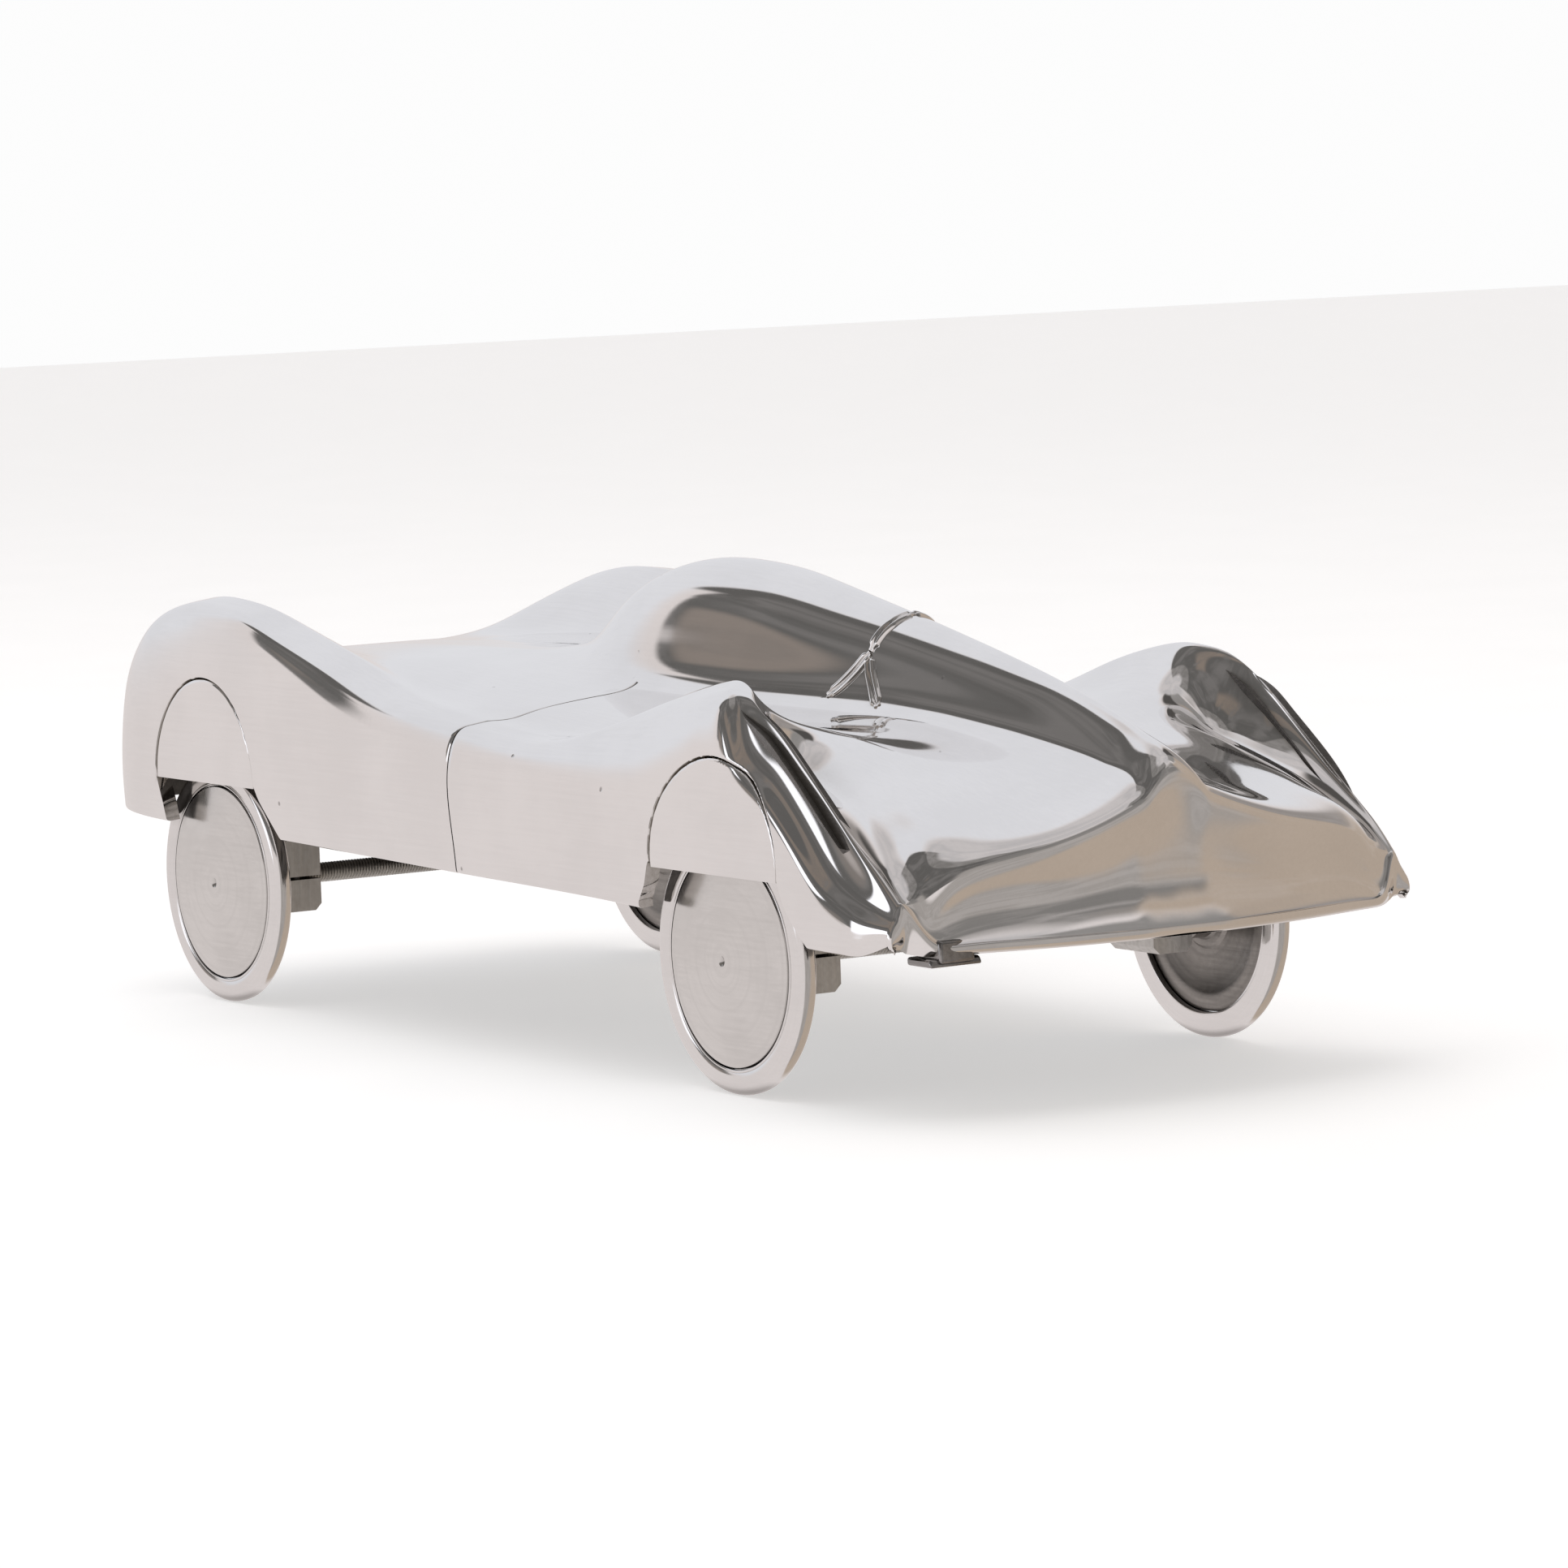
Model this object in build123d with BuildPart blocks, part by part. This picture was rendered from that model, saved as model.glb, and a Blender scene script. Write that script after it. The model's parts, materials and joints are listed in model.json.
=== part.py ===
"""Polished cast aluminium streamliner on four spinning disc wheels.

Millimetres. +X is the nose, +Y the left side, +Z up. The origin is on the ground,
under the middle of the bounding box.
"""
from build123d import *
import os

os.makedirs("parts", exist_ok=True)

# ---------------------------------------------------------------- driving dimensions
WHEEL_RADIUS = 36.0
AXLE_X = {"rear": -160.0, "front": 125.0}
SIDES = {"left": 1, "right": -1}

WALL = 4.5                  # casting wall
SEAM_X = -4.0               # butt joint between rear and front castings
CANOPY_PLAN = [(-60, 8), (-48, 20), (-25, 26), (2, 26), (40, 23), (98, 20)]
BODY_TOP_Z = 150.0

ARCH_RADIUS = 31.0
ARCH_CENTRE = {"rear": (-152.0, 67.0), "front": (132.0, 60.0)}
MOUTH = {                   # opening under each skirt, from the arch centre
    "rear": [(-31, 0), (-27, -12), (-26, -30), (50, -30), (44, -14), (36, -6), (31, 0)],
    "front": [(-31, 0), (-34, -5), (-38, -10), (-38, -30), (52, -30), (41, -14), (31, 0)],
}
SKIRT_BACK = 83.5           # flat inner face of the skirts, from the centre plane
ARCH_CUT_FROM = 82.0        # the arches are cut only through the side walls

TYRE_INNER_FACE = 74.0
TYRE_OUTER_FACE = 79.6
TYRE_ROUNDING = 2.4
DISC_RADIUS = 29.0
DISC_INNER_FACE = 75.6
DISC_DOME = 2.4
HUB_RADIUS = 8.0
HUB_INNER_FACE = 69.0
CENTRE_DRILL_DIAMETER = 2.0
CENTRE_DRILL_DEPTH = 1.2

AXLE_DIAMETER = 6.0
AXLE_END = 77.5
BEARING_BORE = 6.1
BLOCK_INNER = 51.0
BLOCK_OUTER = 64.0
BLOCK_HALF_LENGTH = 10.5
BLOCK_TOP_Z = 60.0
CAP_BOTTOM_Z = 26.0
CAP_BEVEL = 2.0
CAP_GAP = 1.0
PILLAR_TOP_Z = 112.0

SCREW_DIAMETER = 3.0
SCREW_HEAD_DIAMETER = 5.5
SCREW_HEAD_HEIGHT = 3.0
SCREW_OFFSET = 6.6
SCREW_TOP_Z = 68.0
SCREW_CLEARANCE = 0.4         # on the diameter
SCREW_SOCKET_DIAMETER = 2.6
SCREW_SOCKET_DEPTH = 1.5

NUT_ACROSS_FLATS = 10.0
NUT_HEIGHT = 3.2
WASHER_DIAMETER = 12.0
WASHER_THICKNESS = 1.2

STRAP_LENGTH = 36.0
STRAP_HEIGHT = 14.0
STRAP_THICKNESS = 3.0
STRAP_Z = 60.0
STRAP_FACE = 84.5           # inner face of the side wall at the seam
STRAP_SCREW_SPACING = 22.0
STRAP_SCREW_DEPTH = 2.5
STRAP_SCREW_DIAMETER = 3.0
STRAP_HEAD_DIAMETER = 5.5
STRAP_HEAD_HEIGHT = 2.0

BOW_CENTRE_X = -11.3        # the lip is an arc in plan
BOW_RADIUS = 233.8
FACE_HOLLOW_RADIUS = 26.0   # concave nose face
FACE_HOLLOW_DEPTH = 8.5
FACE_HOLLOW_HALF_HEIGHT = 17.0
FACE_CENTRE_Z = 65.0

# ---------------------------------------------------------------- body sections
# One row per station: x, then (y, z) of the left half from the sill up to the roof:
# sill, side, cheek, shoulder, ridge, valley, hood edge, deck, base, wall, brow, roof.
SECTIONS = [
    (-222.5, [(72, 57), (71, 68), (69, 82), (65.5, 89), (61, 91), (50, 90.5),
              (40, 91), (28, 90), (14, 89), (8, 89), (4, 89), (0, 89)]),
    (-209.5, [(84, 55), (85, 72), (82, 95), (77.5, 103), (67, 107), (54, 104.5),
              (42, 102), (28, 99.5), (14, 99), (8, 99), (4, 99), (0, 99)]),
    (-193.5, [(86.5, 54), (87.5, 74), (85, 105), (81, 112), (70, 115.5), (55, 110.5),
              (42, 104), (29, 101), (15, 101), (8, 101), (4, 101), (0, 101)]),
    (-162.5, [(87, 53.5), (88, 74), (86.5, 109), (83.5, 117.5), (72, 121), (58, 114.5),
              (44, 105), (31, 102), (16, 102), (9, 102), (4.5, 102), (0, 102)]),
    (-135.5, [(87, 53), (88.5, 74), (87, 106), (84.5, 116), (73.5, 119.5), (61, 112.5),
              (47, 104), (33, 102.5), (17, 103), (9, 103), (4.5, 103), (0, 103)]),
    (-110.5, [(87, 52.5), (88.5, 74), (87, 101), (85, 110), (74, 113.5), (62.5, 108),
              (50, 103), (35, 102.5), (18, 103), (10, 103.5), (5, 103.5), (0, 103.5)]),
    (-75.5, [(87, 52), (88.5, 73), (87.5, 92), (85, 100.5), (73.5, 104.5), (65, 101.5),
             (56, 100), (38, 101.5), (21, 103), (12, 104), (7, 105), (0, 106)]),
    (-50.5, [(87.5, 51.5), (89, 72), (88, 87), (85, 95.5), (75, 98.5), (66, 97),
             (57.5, 97.5), (39.5, 100), (23.5, 102), (16, 105.5), (10, 112), (0, 114.5)]),
    (-25.5, [(87.5, 51), (89, 71.5), (88, 85), (85, 92.5), (75.5, 94.5), (67, 94),
             (58, 96), (40, 98), (25.5, 100.5), (20, 109.5), (15, 123), (0, 127.5)]),
    (2.5, [(87.5, 50.5), (89, 71), (88, 84), (85, 90), (76, 92), (67, 92.5),
           (58, 94.5), (39.5, 96.5), (25.5, 99.5), (20, 111), (15.5, 128.5), (0, 133.5)]),
    (34.5, [(87.5, 50), (89, 70), (88, 83), (84.5, 88), (76, 90), (66, 90),
            (56, 92.5), (38, 95), (23.5, 97.5), (18.5, 110), (13.5, 127), (0, 132)]),
    (64.5, [(87.5, 49), (89, 69), (88, 83), (83, 90.5), (73.5, 94.5), (64, 92),
            (54, 92), (37, 94), (21.5, 96.5), (16, 107.5), (11, 121.5), (0, 127.5)]),
    (89.5, [(87.5, 48.5), (89, 68), (88, 85), (81.5, 96), (72, 102.5), (63, 97),
            (53, 93.5), (36, 93.5), (20, 95.5), (14, 105), (9.5, 117), (0, 123)]),
    (109.5, [(87.5, 47.5), (89, 67), (87.5, 88), (81.5, 101.5), (72, 107.5), (64, 102),
             (54, 96), (35, 93.5), (18.5, 95), (12.5, 103), (8.5, 113), (0, 119.5)]),
    (124.5, [(87.5, 47), (89, 66), (87.5, 90), (82.5, 104.5), (73.5, 109.5), (66, 104.5),
             (56, 97.5), (35, 93.5), (17.5, 94), (11, 101), (7.5, 110.5), (0, 116.5)]),
    (135.5, [(87.5, 46), (88.5, 64), (87.5, 86), (85, 99), (77, 107), (67.5, 94),
             (56, 95), (35, 92.5), (16.5, 93), (10.5, 99.5), (7, 108.5), (0, 114)]),
    (146.5, [(87.5, 45.5), (88.5, 61), (87.5, 79), (86.6, 86.5), (79, 101.5), (67.5, 84.5),
             (55.5, 91.5), (35, 90.5), (16, 92), (10, 98.5), (6.5, 106.5), (0, 111.5)]),
    (164.5, [(87, 44.5), (88.5, 55), (87.5, 68), (86.6, 74.5), (79, 90), (67.5, 80),
             (57.5, 86.5), (35, 86.5), (15, 90), (9, 95.5), (6, 102.5), (0, 108)]),
    (182.5, [(86.5, 43.5), (88, 49), (87.5, 53.5), (86.5, 58.5), (79, 76), (68, 74.5),
             (60, 80), (35, 82.5), (13.5, 87.5), (8.5, 92), (5, 97.5), (0, 102.5)]),
    (206.5, [(84, 43.5), (85, 45.5), (85, 47), (84.2, 49.5), (79, 59.5), (71.5, 62),
             (62, 70.5), (35, 75), (12.5, 83), (8.2, 87), (4.6, 91), (0, 94)]),
    (224.5, [(84, 43.5), (85, 45), (85, 46.5), (84, 48), (79, 50), (71.5, 53),
             (61, 63.5), (37, 69), (15, 76), (9, 80), (5, 83), (0, 85)]),
]
SIDE, CHEEK, SHOULDER, RIDGE, VALLEY, EDGE, DECK, BASE, WALL_LINE, BROW, ROOF = range(1, 12)
CAVITY_SECTIONS = slice(1, -2)      # the hollow stops short of the tail and the nose face
CAVITY_FLOOR_Z = 30.0


def smoothed(sections):
    """Add a station half way along every gap, on a cubic through its four neighbours."""
    result = [sections[0]]
    for index in range(len(sections) - 1):
        start, end = sections[index], sections[index + 1]
        before = sections[max(index - 1, 0)]
        after = sections[min(index + 2, len(sections) - 1)]
        gap = end[0] - start[0]
        middle = []
        for p0, p1, p2, p3 in zip(before[1], start[1], end[1], after[1]):
            point = []
            for axis in (0, 1):
                slope_1 = (p2[axis] - p0[axis]) / (end[0] - before[0])
                slope_2 = (p3[axis] - p1[axis]) / (after[0] - start[0])
                bulge = (slope_1 - slope_2) * gap / 8
                point.append((p1[axis] + p2[axis]) / 2 + bulge)
            middle.append(tuple(point))
        result += [((start[0] + end[0]) / 2, middle), end]
    return result


def hollow_points(points):
    """Half section of the hollow: the outer half section moved in by the wall."""
    base_y, base_z = points[BASE]
    headroom = min(max((points[WALL_LINE][0] - 13.0) / 5.0, 0.0), 1.0)
    shelf = max(min(points[RIDGE][1], points[VALLEY][1]) - WALL, 46.0)
    inner = [
        (points[SIDE][0] - WALL, CAVITY_FLOOR_Z),
        (points[SIDE][0] - WALL, min(points[SIDE][1], shelf - 4.0)),
        (points[SHOULDER][0] - WALL - 1.5, min(points[CHEEK][1], shelf - 1.0)),
        (points[RIDGE][0] - 4.0, shelf),
        (points[VALLEY][0] + 1.5, max(points[VALLEY][1] - WALL - 1.5, 46.0)),
        (points[EDGE][0] - 6.0, points[EDGE][1] - WALL - 1.0),
        (points[DECK][0] - 2.0, points[DECK][1] - WALL),
        (base_y - 2.0, base_z - WALL),
    ]
    for index in (WALL_LINE, BROW, ROOF):
        y, z = points[index]
        rise = headroom * (z - base_z - 1.0)
        inner.append((0.72 * y, base_z - WALL + rise))
    return inner


def station_plane(x):
    return Plane(origin=(x, 0, 0), x_dir=(0, 1, 0), z_dir=(1, 0, 0))


def full_outline(half):
    """The left half and its mirror image, joined at the roof point."""
    return half + [(-y, z) for y, z in reversed(half[:-1])]


def side_plane(x, y, z):
    """Sketch plane parallel to the side walls: local x is +X, local y is +Z."""
    return Plane(origin=(x, y, z), x_dir=(1, 0, 0), z_dir=(0, -1, 0))


def wheel_plane(x, side):
    """Half plane through a wheel's axis: local x is outward, local y is the radius."""
    return Plane(origin=(x, 0, WHEEL_RADIUS), x_dir=(0, side, 0), z_dir=(side, 0, 0))


def save(part, name):
    part.label = name
    export_step(part, f"parts/{name}.step")


# ---------------------------------------------------------------- working solids
body_sections = smoothed(SECTIONS)
hollow_sections = [(x, hollow_points(half)) for x, half in SECTIONS[CAVITY_SECTIONS]]

with BuildPart() as envelope:
    for x, half in body_sections:
        with BuildSketch(station_plane(x)):
            with BuildLine():
                outline = Spline(*full_outline(half))
                Line(outline @ 1, outline @ 0)
            make_face()
    loft(ruled=True)
    with BuildSketch(Plane.XY):
        with Locations((BOW_CENTRE_X, 0)):
            Circle(BOW_RADIUS)
    extrude(amount=BODY_TOP_Z, mode=Mode.INTERSECT)
    face_x = BOW_CENTRE_X + BOW_RADIUS + FACE_HOLLOW_RADIUS - FACE_HOLLOW_DEPTH
    with BuildSketch(Plane.XZ):
        with Locations((face_x, FACE_CENTRE_Z)):
            Ellipse(FACE_HOLLOW_RADIUS, FACE_HOLLOW_HALF_HEIGHT)
    revolve(axis=Axis((BOW_CENTRE_X, 0, 0), (0, 0, 1)), mode=Mode.SUBTRACT)

with BuildPart() as cavity:
    for x, half in hollow_sections:
        with BuildSketch(station_plane(x)):
            with BuildLine():
                Polyline(*full_outline(half), close=True)
            make_face()
    loft(ruled=True)

with BuildPart() as pillars:
    for end_x in AXLE_X.values():
        for side in SIDES.values():
            with BuildSketch(Plane.XY.offset(BLOCK_TOP_Z)):
                with Locations((end_x, side * (BLOCK_INNER + BLOCK_OUTER) / 2)):
                    Rectangle(2 * BLOCK_HALF_LENGTH, BLOCK_OUTER - BLOCK_INNER)
            extrude(amount=PILLAR_TOP_Z - BLOCK_TOP_Z)
    add(envelope.part, mode=Mode.INTERSECT)

with BuildPart() as arch_tools:
    for end, (centre_x, centre_z) in ARCH_CENTRE.items():
        for side in SIDES.values():
            with BuildSketch(side_plane(centre_x, side * ARCH_CUT_FROM, centre_z)):
                Circle(ARCH_RADIUS)
                with BuildLine():
                    Polyline(*MOUTH[end], close=True)
                make_face()
            extrude(amount=-side * 40.0)

with BuildPart() as fastener_holes:
    for end_x in AXLE_X.values():
        for side in SIDES.values():
            with Locations((end_x, side * (BLOCK_INNER + BLOCK_OUTER) / 2, BLOCK_TOP_Z)):
                with GridLocations(2 * SCREW_OFFSET, 0, 2, 1):
                    Cylinder(SCREW_DIAMETER / 2, SCREW_TOP_Z - BLOCK_TOP_Z,
                             align=(Align.CENTER, Align.CENTER, Align.MIN))
    for side in SIDES.values():
        with BuildSketch(side_plane(SEAM_X, side * STRAP_FACE, STRAP_Z)):
            with GridLocations(STRAP_SCREW_SPACING, 0, 2, 1):
                Circle(STRAP_SCREW_DIAMETER / 2)
        extrude(amount=-side * STRAP_SCREW_DEPTH)

with BuildPart() as canopy_tool:
    with BuildSketch(Plane.XY.offset(BLOCK_TOP_Z)):
        with BuildLine():
            Polyline(*CANOPY_PLAN, *[(x, -y) for x, y in reversed(CANOPY_PLAN)], close=True)
        make_face()
    extrude(amount=BODY_TOP_Z - BLOCK_TOP_Z)

with BuildPart() as shell:
    add(envelope.part)
    add(cavity.part, mode=Mode.SUBTRACT)
    add(pillars.part)
    add(arch_tools.part, mode=Mode.SUBTRACT)
    add(fastener_holes.part, mode=Mode.SUBTRACT)

# ---------------------------------------------------------------- castings
with BuildPart() as canopy:
    add(shell.part)
    add(canopy_tool.part, mode=Mode.INTERSECT)
save(canopy.part, "canopy")

with BuildPart() as tub:
    add(shell.part)
    add(canopy_tool.part, mode=Mode.SUBTRACT)

with BuildPart() as body_rear:
    add(tub.part)
    split(bisect_by=Plane.YZ.offset(SEAM_X), keep=Keep.BOTTOM)
save(body_rear.part, "body_rear")

with BuildPart() as body_front:
    add(tub.part)
    split(bisect_by=Plane.YZ.offset(SEAM_X), keep=Keep.TOP)
save(body_front.part, "body_front")

# ---------------------------------------------------------------- skirts in the arches
for end, (centre_x, centre_z) in ARCH_CENTRE.items():
    for side_name, side in SIDES.items():
        with BuildPart() as skirt:
            with BuildSketch(side_plane(centre_x, side * SKIRT_BACK, centre_z)):
                Circle(ARCH_RADIUS)
                Rectangle(2 * ARCH_RADIUS, ARCH_RADIUS, mode=Mode.INTERSECT,
                          align=(Align.CENTER, Align.MIN))
            extrude(amount=-side * 10.0)
            add(envelope.part, mode=Mode.INTERSECT)
        save(skirt.part, f"skirt_{end}_{side_name}")

# ---------------------------------------------------------------- wheels
for end, end_x in AXLE_X.items():
    wheel_axis = Axis((end_x, 0, WHEEL_RADIUS), (0, 1, 0))
    for side_name, side in SIDES.items():
        with BuildPart() as tyre:
            with BuildSketch(wheel_plane(end_x, side)):
                with BuildLine():
                    Polyline((TYRE_INNER_FACE, DISC_RADIUS), (TYRE_INNER_FACE, WHEEL_RADIUS),
                             (TYRE_OUTER_FACE, WHEEL_RADIUS), (TYRE_OUTER_FACE, DISC_RADIUS),
                             close=True)
                section = make_face()
                fillet(section.vertices().group_by(Axis.Z)[-1], radius=TYRE_ROUNDING)
            revolve(axis=wheel_axis)
        save(tyre.part, f"tyre_{end}_{side_name}")

        with BuildPart() as disc:
            rim = TYRE_OUTER_FACE - 0.4
            top = rim + DISC_DOME
            with BuildSketch(wheel_plane(end_x, side)):
                with BuildLine():
                    Polyline((top, CENTRE_DRILL_DIAMETER / 2), (top - CENTRE_DRILL_DEPTH, 0),
                             (AXLE_END, 0), (AXLE_END, AXLE_DIAMETER / 2),
                             (HUB_INNER_FACE, AXLE_DIAMETER / 2), (HUB_INNER_FACE, HUB_RADIUS),
                             (DISC_INNER_FACE, HUB_RADIUS), (DISC_INNER_FACE, DISC_RADIUS),
                             (rim, DISC_RADIUS))
                    ThreePointArc((rim, DISC_RADIUS), (rim + 0.74 * DISC_DOME, DISC_RADIUS / 2),
                                  (top, CENTRE_DRILL_DIAMETER / 2))
                make_face()
            revolve(axis=wheel_axis)
        save(disc.part, f"wheel_disc_{end}_{side_name}")

# ---------------------------------------------------------------- axles and their nuts
for end, end_x in AXLE_X.items():
    with BuildPart() as axle:
        with BuildSketch(side_plane(end_x, -AXLE_END, WHEEL_RADIUS)):
            Circle(AXLE_DIAMETER / 2)
        extrude(amount=-2 * AXLE_END)
    save(axle.part, f"axle_{end}")

    with BuildPart() as nuts:
        for side in SIDES.values():
            with BuildSketch(side_plane(end_x, side * (HUB_INNER_FACE - NUT_HEIGHT), WHEEL_RADIUS)):
                RegularPolygon(NUT_ACROSS_FLATS / 2, 6, major_radius=False)
                Circle(AXLE_DIAMETER / 2, mode=Mode.SUBTRACT)
            extrude(amount=-side * NUT_HEIGHT)
    save(nuts.part, f"wheel_nuts_{end}")

    with BuildPart() as washers:
        washer_face = HUB_INNER_FACE - NUT_HEIGHT - WASHER_THICKNESS
        for side in SIDES.values():
            with BuildSketch(side_plane(end_x, side * washer_face, WHEEL_RADIUS)):
                Circle(WASHER_DIAMETER / 2)
                Circle(AXLE_DIAMETER / 2, mode=Mode.SUBTRACT)
            extrude(amount=-side * WASHER_THICKNESS)
    save(washers.part, f"washers_{end}")

# ---------------------------------------------------------------- bearings under the pillars
BLOCK_WIDTH = BLOCK_OUTER - BLOCK_INNER
for end, end_x in AXLE_X.items():
    for side_name, side in SIDES.items():
        block_y = side * (BLOCK_INNER + BLOCK_OUTER) / 2
        with BuildPart() as block:
            with BuildSketch(Plane.XY.offset(BLOCK_TOP_Z)):
                with Locations((end_x, block_y)):
                    Rectangle(2 * BLOCK_HALF_LENGTH, BLOCK_WIDTH)
                    with GridLocations(2 * SCREW_OFFSET, 0, 2, 1):
                        Circle(SCREW_DIAMETER / 2 + SCREW_CLEARANCE / 2, mode=Mode.SUBTRACT)
            extrude(amount=WHEEL_RADIUS + CAP_GAP / 2 - BLOCK_TOP_Z)
            with BuildSketch(side_plane(end_x, block_y, WHEEL_RADIUS)):
                Circle(BEARING_BORE / 2)
            extrude(amount=BLOCK_WIDTH, both=True, mode=Mode.SUBTRACT)
        save(block.part, f"bearing_block_{end}_{side_name}")

        with BuildPart() as cap:
            with BuildSketch(Plane.XY.offset(CAP_BOTTOM_Z)):
                with Locations((end_x, block_y)):
                    Rectangle(2 * BLOCK_HALF_LENGTH, BLOCK_WIDTH)
            extrude(amount=WHEEL_RADIUS - CAP_GAP / 2 - CAP_BOTTOM_Z)
            bottom_edges = cap.faces().sort_by(Axis.Z)[0].edges().filter_by(Axis.X)
            chamfer(bottom_edges, length=CAP_BEVEL)
            with Locations(Plane(origin=(end_x, block_y, CAP_BOTTOM_Z), z_dir=(0, 0, -1))):
                with GridLocations(2 * SCREW_OFFSET, 0, 2, 1):
                    CounterBoreHole((SCREW_DIAMETER + SCREW_CLEARANCE) / 2,
                                    (SCREW_HEAD_DIAMETER + SCREW_CLEARANCE) / 2, SCREW_HEAD_HEIGHT)
            with BuildSketch(side_plane(end_x, block_y, WHEEL_RADIUS)):
                Circle(BEARING_BORE / 2)
            extrude(amount=BLOCK_WIDTH, both=True, mode=Mode.SUBTRACT)
        save(cap.part, f"bearing_cap_{end}_{side_name}")

with BuildPart() as cap_screws:
    for end_x in AXLE_X.values():
        for side in SIDES.values():
            with Locations((end_x, side * (BLOCK_INNER + BLOCK_OUTER) / 2, CAP_BOTTOM_Z)):
                with GridLocations(2 * SCREW_OFFSET, 0, 2, 1):
                    Cylinder(SCREW_HEAD_DIAMETER / 2, SCREW_HEAD_HEIGHT,
                             align=(Align.CENTER, Align.CENTER, Align.MIN))
                    Cylinder(SCREW_DIAMETER / 2, SCREW_TOP_Z - CAP_BOTTOM_Z,
                             align=(Align.CENTER, Align.CENTER, Align.MIN))
                    Cylinder(SCREW_SOCKET_DIAMETER / 2, SCREW_SOCKET_DEPTH, mode=Mode.SUBTRACT,
                             align=(Align.CENTER, Align.CENTER, Align.MIN))
save(cap_screws.part, "bearing_cap_screws")

# ---------------------------------------------------------------- straps across the seam
for side_name, side in SIDES.items():
    with BuildPart() as strap:
        with BuildSketch(side_plane(SEAM_X, side * (STRAP_FACE - STRAP_THICKNESS), STRAP_Z)):
            RectangleRounded(STRAP_LENGTH, STRAP_HEIGHT, 2.0)
            with GridLocations(STRAP_SCREW_SPACING, 0, 2, 1):
                Circle(STRAP_SCREW_DIAMETER / 2, mode=Mode.SUBTRACT)
        extrude(amount=-side * STRAP_THICKNESS)
    save(strap.part, f"seam_strap_{side_name}")

with BuildPart() as strap_screws:
    for side in SIDES.values():
        head_face = STRAP_FACE - STRAP_THICKNESS
        with BuildSketch(side_plane(SEAM_X, side * head_face, STRAP_Z)):
            with GridLocations(STRAP_SCREW_SPACING, 0, 2, 1):
                Circle(STRAP_HEAD_DIAMETER / 2)
        extrude(amount=side * STRAP_HEAD_HEIGHT)
        with BuildSketch(side_plane(SEAM_X, side * head_face, STRAP_Z)):
            with GridLocations(STRAP_SCREW_SPACING, 0, 2, 1):
                Circle(STRAP_SCREW_DIAMETER / 2)
        extrude(amount=-side * (STRAP_THICKNESS + STRAP_SCREW_DEPTH))
save(strap_screws.part, "seam_strap_screws")
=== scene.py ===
"""Looks of a polished cast aluminium streamliner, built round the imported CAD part.

The castings are re-skinned with one smooth surface, which is cut at the same seams,
arches and openings as the CAD solids. Sizes are in millimetres until a mesh is made.
"""
import json
import math
import bpy
import numpy as np
from mathutils import Matrix, Vector
from mathutils.bvhtree import BVHTree


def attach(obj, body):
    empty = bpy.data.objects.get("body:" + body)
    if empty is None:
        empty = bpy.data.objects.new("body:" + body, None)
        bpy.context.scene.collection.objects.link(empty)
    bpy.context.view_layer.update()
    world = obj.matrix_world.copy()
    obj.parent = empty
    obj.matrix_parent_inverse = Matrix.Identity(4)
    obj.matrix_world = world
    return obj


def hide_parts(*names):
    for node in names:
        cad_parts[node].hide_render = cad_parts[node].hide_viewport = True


MM = 0.001
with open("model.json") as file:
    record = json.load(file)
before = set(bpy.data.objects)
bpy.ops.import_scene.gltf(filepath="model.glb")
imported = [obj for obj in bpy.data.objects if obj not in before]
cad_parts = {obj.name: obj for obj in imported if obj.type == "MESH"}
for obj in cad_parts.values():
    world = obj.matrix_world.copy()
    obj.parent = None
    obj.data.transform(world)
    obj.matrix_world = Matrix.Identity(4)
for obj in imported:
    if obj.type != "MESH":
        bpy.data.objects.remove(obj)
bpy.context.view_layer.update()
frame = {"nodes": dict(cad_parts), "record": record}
scene = bpy.context.scene

# ---------------------------------------------------------------- dimensions shared with the CAD
AXLE_X = {"rear": -160.0, "front": 125.0}
SIDES = {"left": 1, "right": -1}
WHEEL_RADIUS = 36.0
WALL = 4.5
SEAM_X = -4.0
SEAM_GAP = 0.5
ARCH_RADIUS = 31.0
ARCH_CENTRE = {"rear": (-152.0, 67.0), "front": (132.0, 60.0)}
MOUTH = {
    "rear": [(-31, 2), (-28, -7), (-26.5, -14), (-26, -30), (52, -30), (46, -15),
             (40, -9), (34, -3), (31, 2)],
    "front": [(-31, 2), (-34, -5), (-38, -10), (-39, -30), (54, -30), (43, -15),
              (35, -6), (31, 2)],
}
CANOPY_PLAN = [(98.8, 0), (98.8, 5.5), (96.5, 8.8), (94.0, 11.8), (87.6, 14.8),
               (81.7, 17.6), (74, 20), (60, 22), (40, 23.5), (2, 26), (-25, 26),
               (-40, 22.5), (-52, 15), (-60, 6), (-62, 0)]
SEAM_BEADS = {
    "stem": [(98.8, 0), (98.6, 3), (97.8, 6), (96.3, 8.8), (94.8, 11.2)],
    "rear_branch": [(94.8, 11.4), (91.0, 13.2), (87.0, 14.9), (81.7, 17.4)],
    "front_branch": [(94.8, 11.8), (96.5, 12.8), (99.5, 13.9), (104.6, 16.2)],
}
TYRE_INNER_FACE = 74.0
TYRE_OUTER_FACE = 79.6
DISC_RADIUS = 29.0

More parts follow.
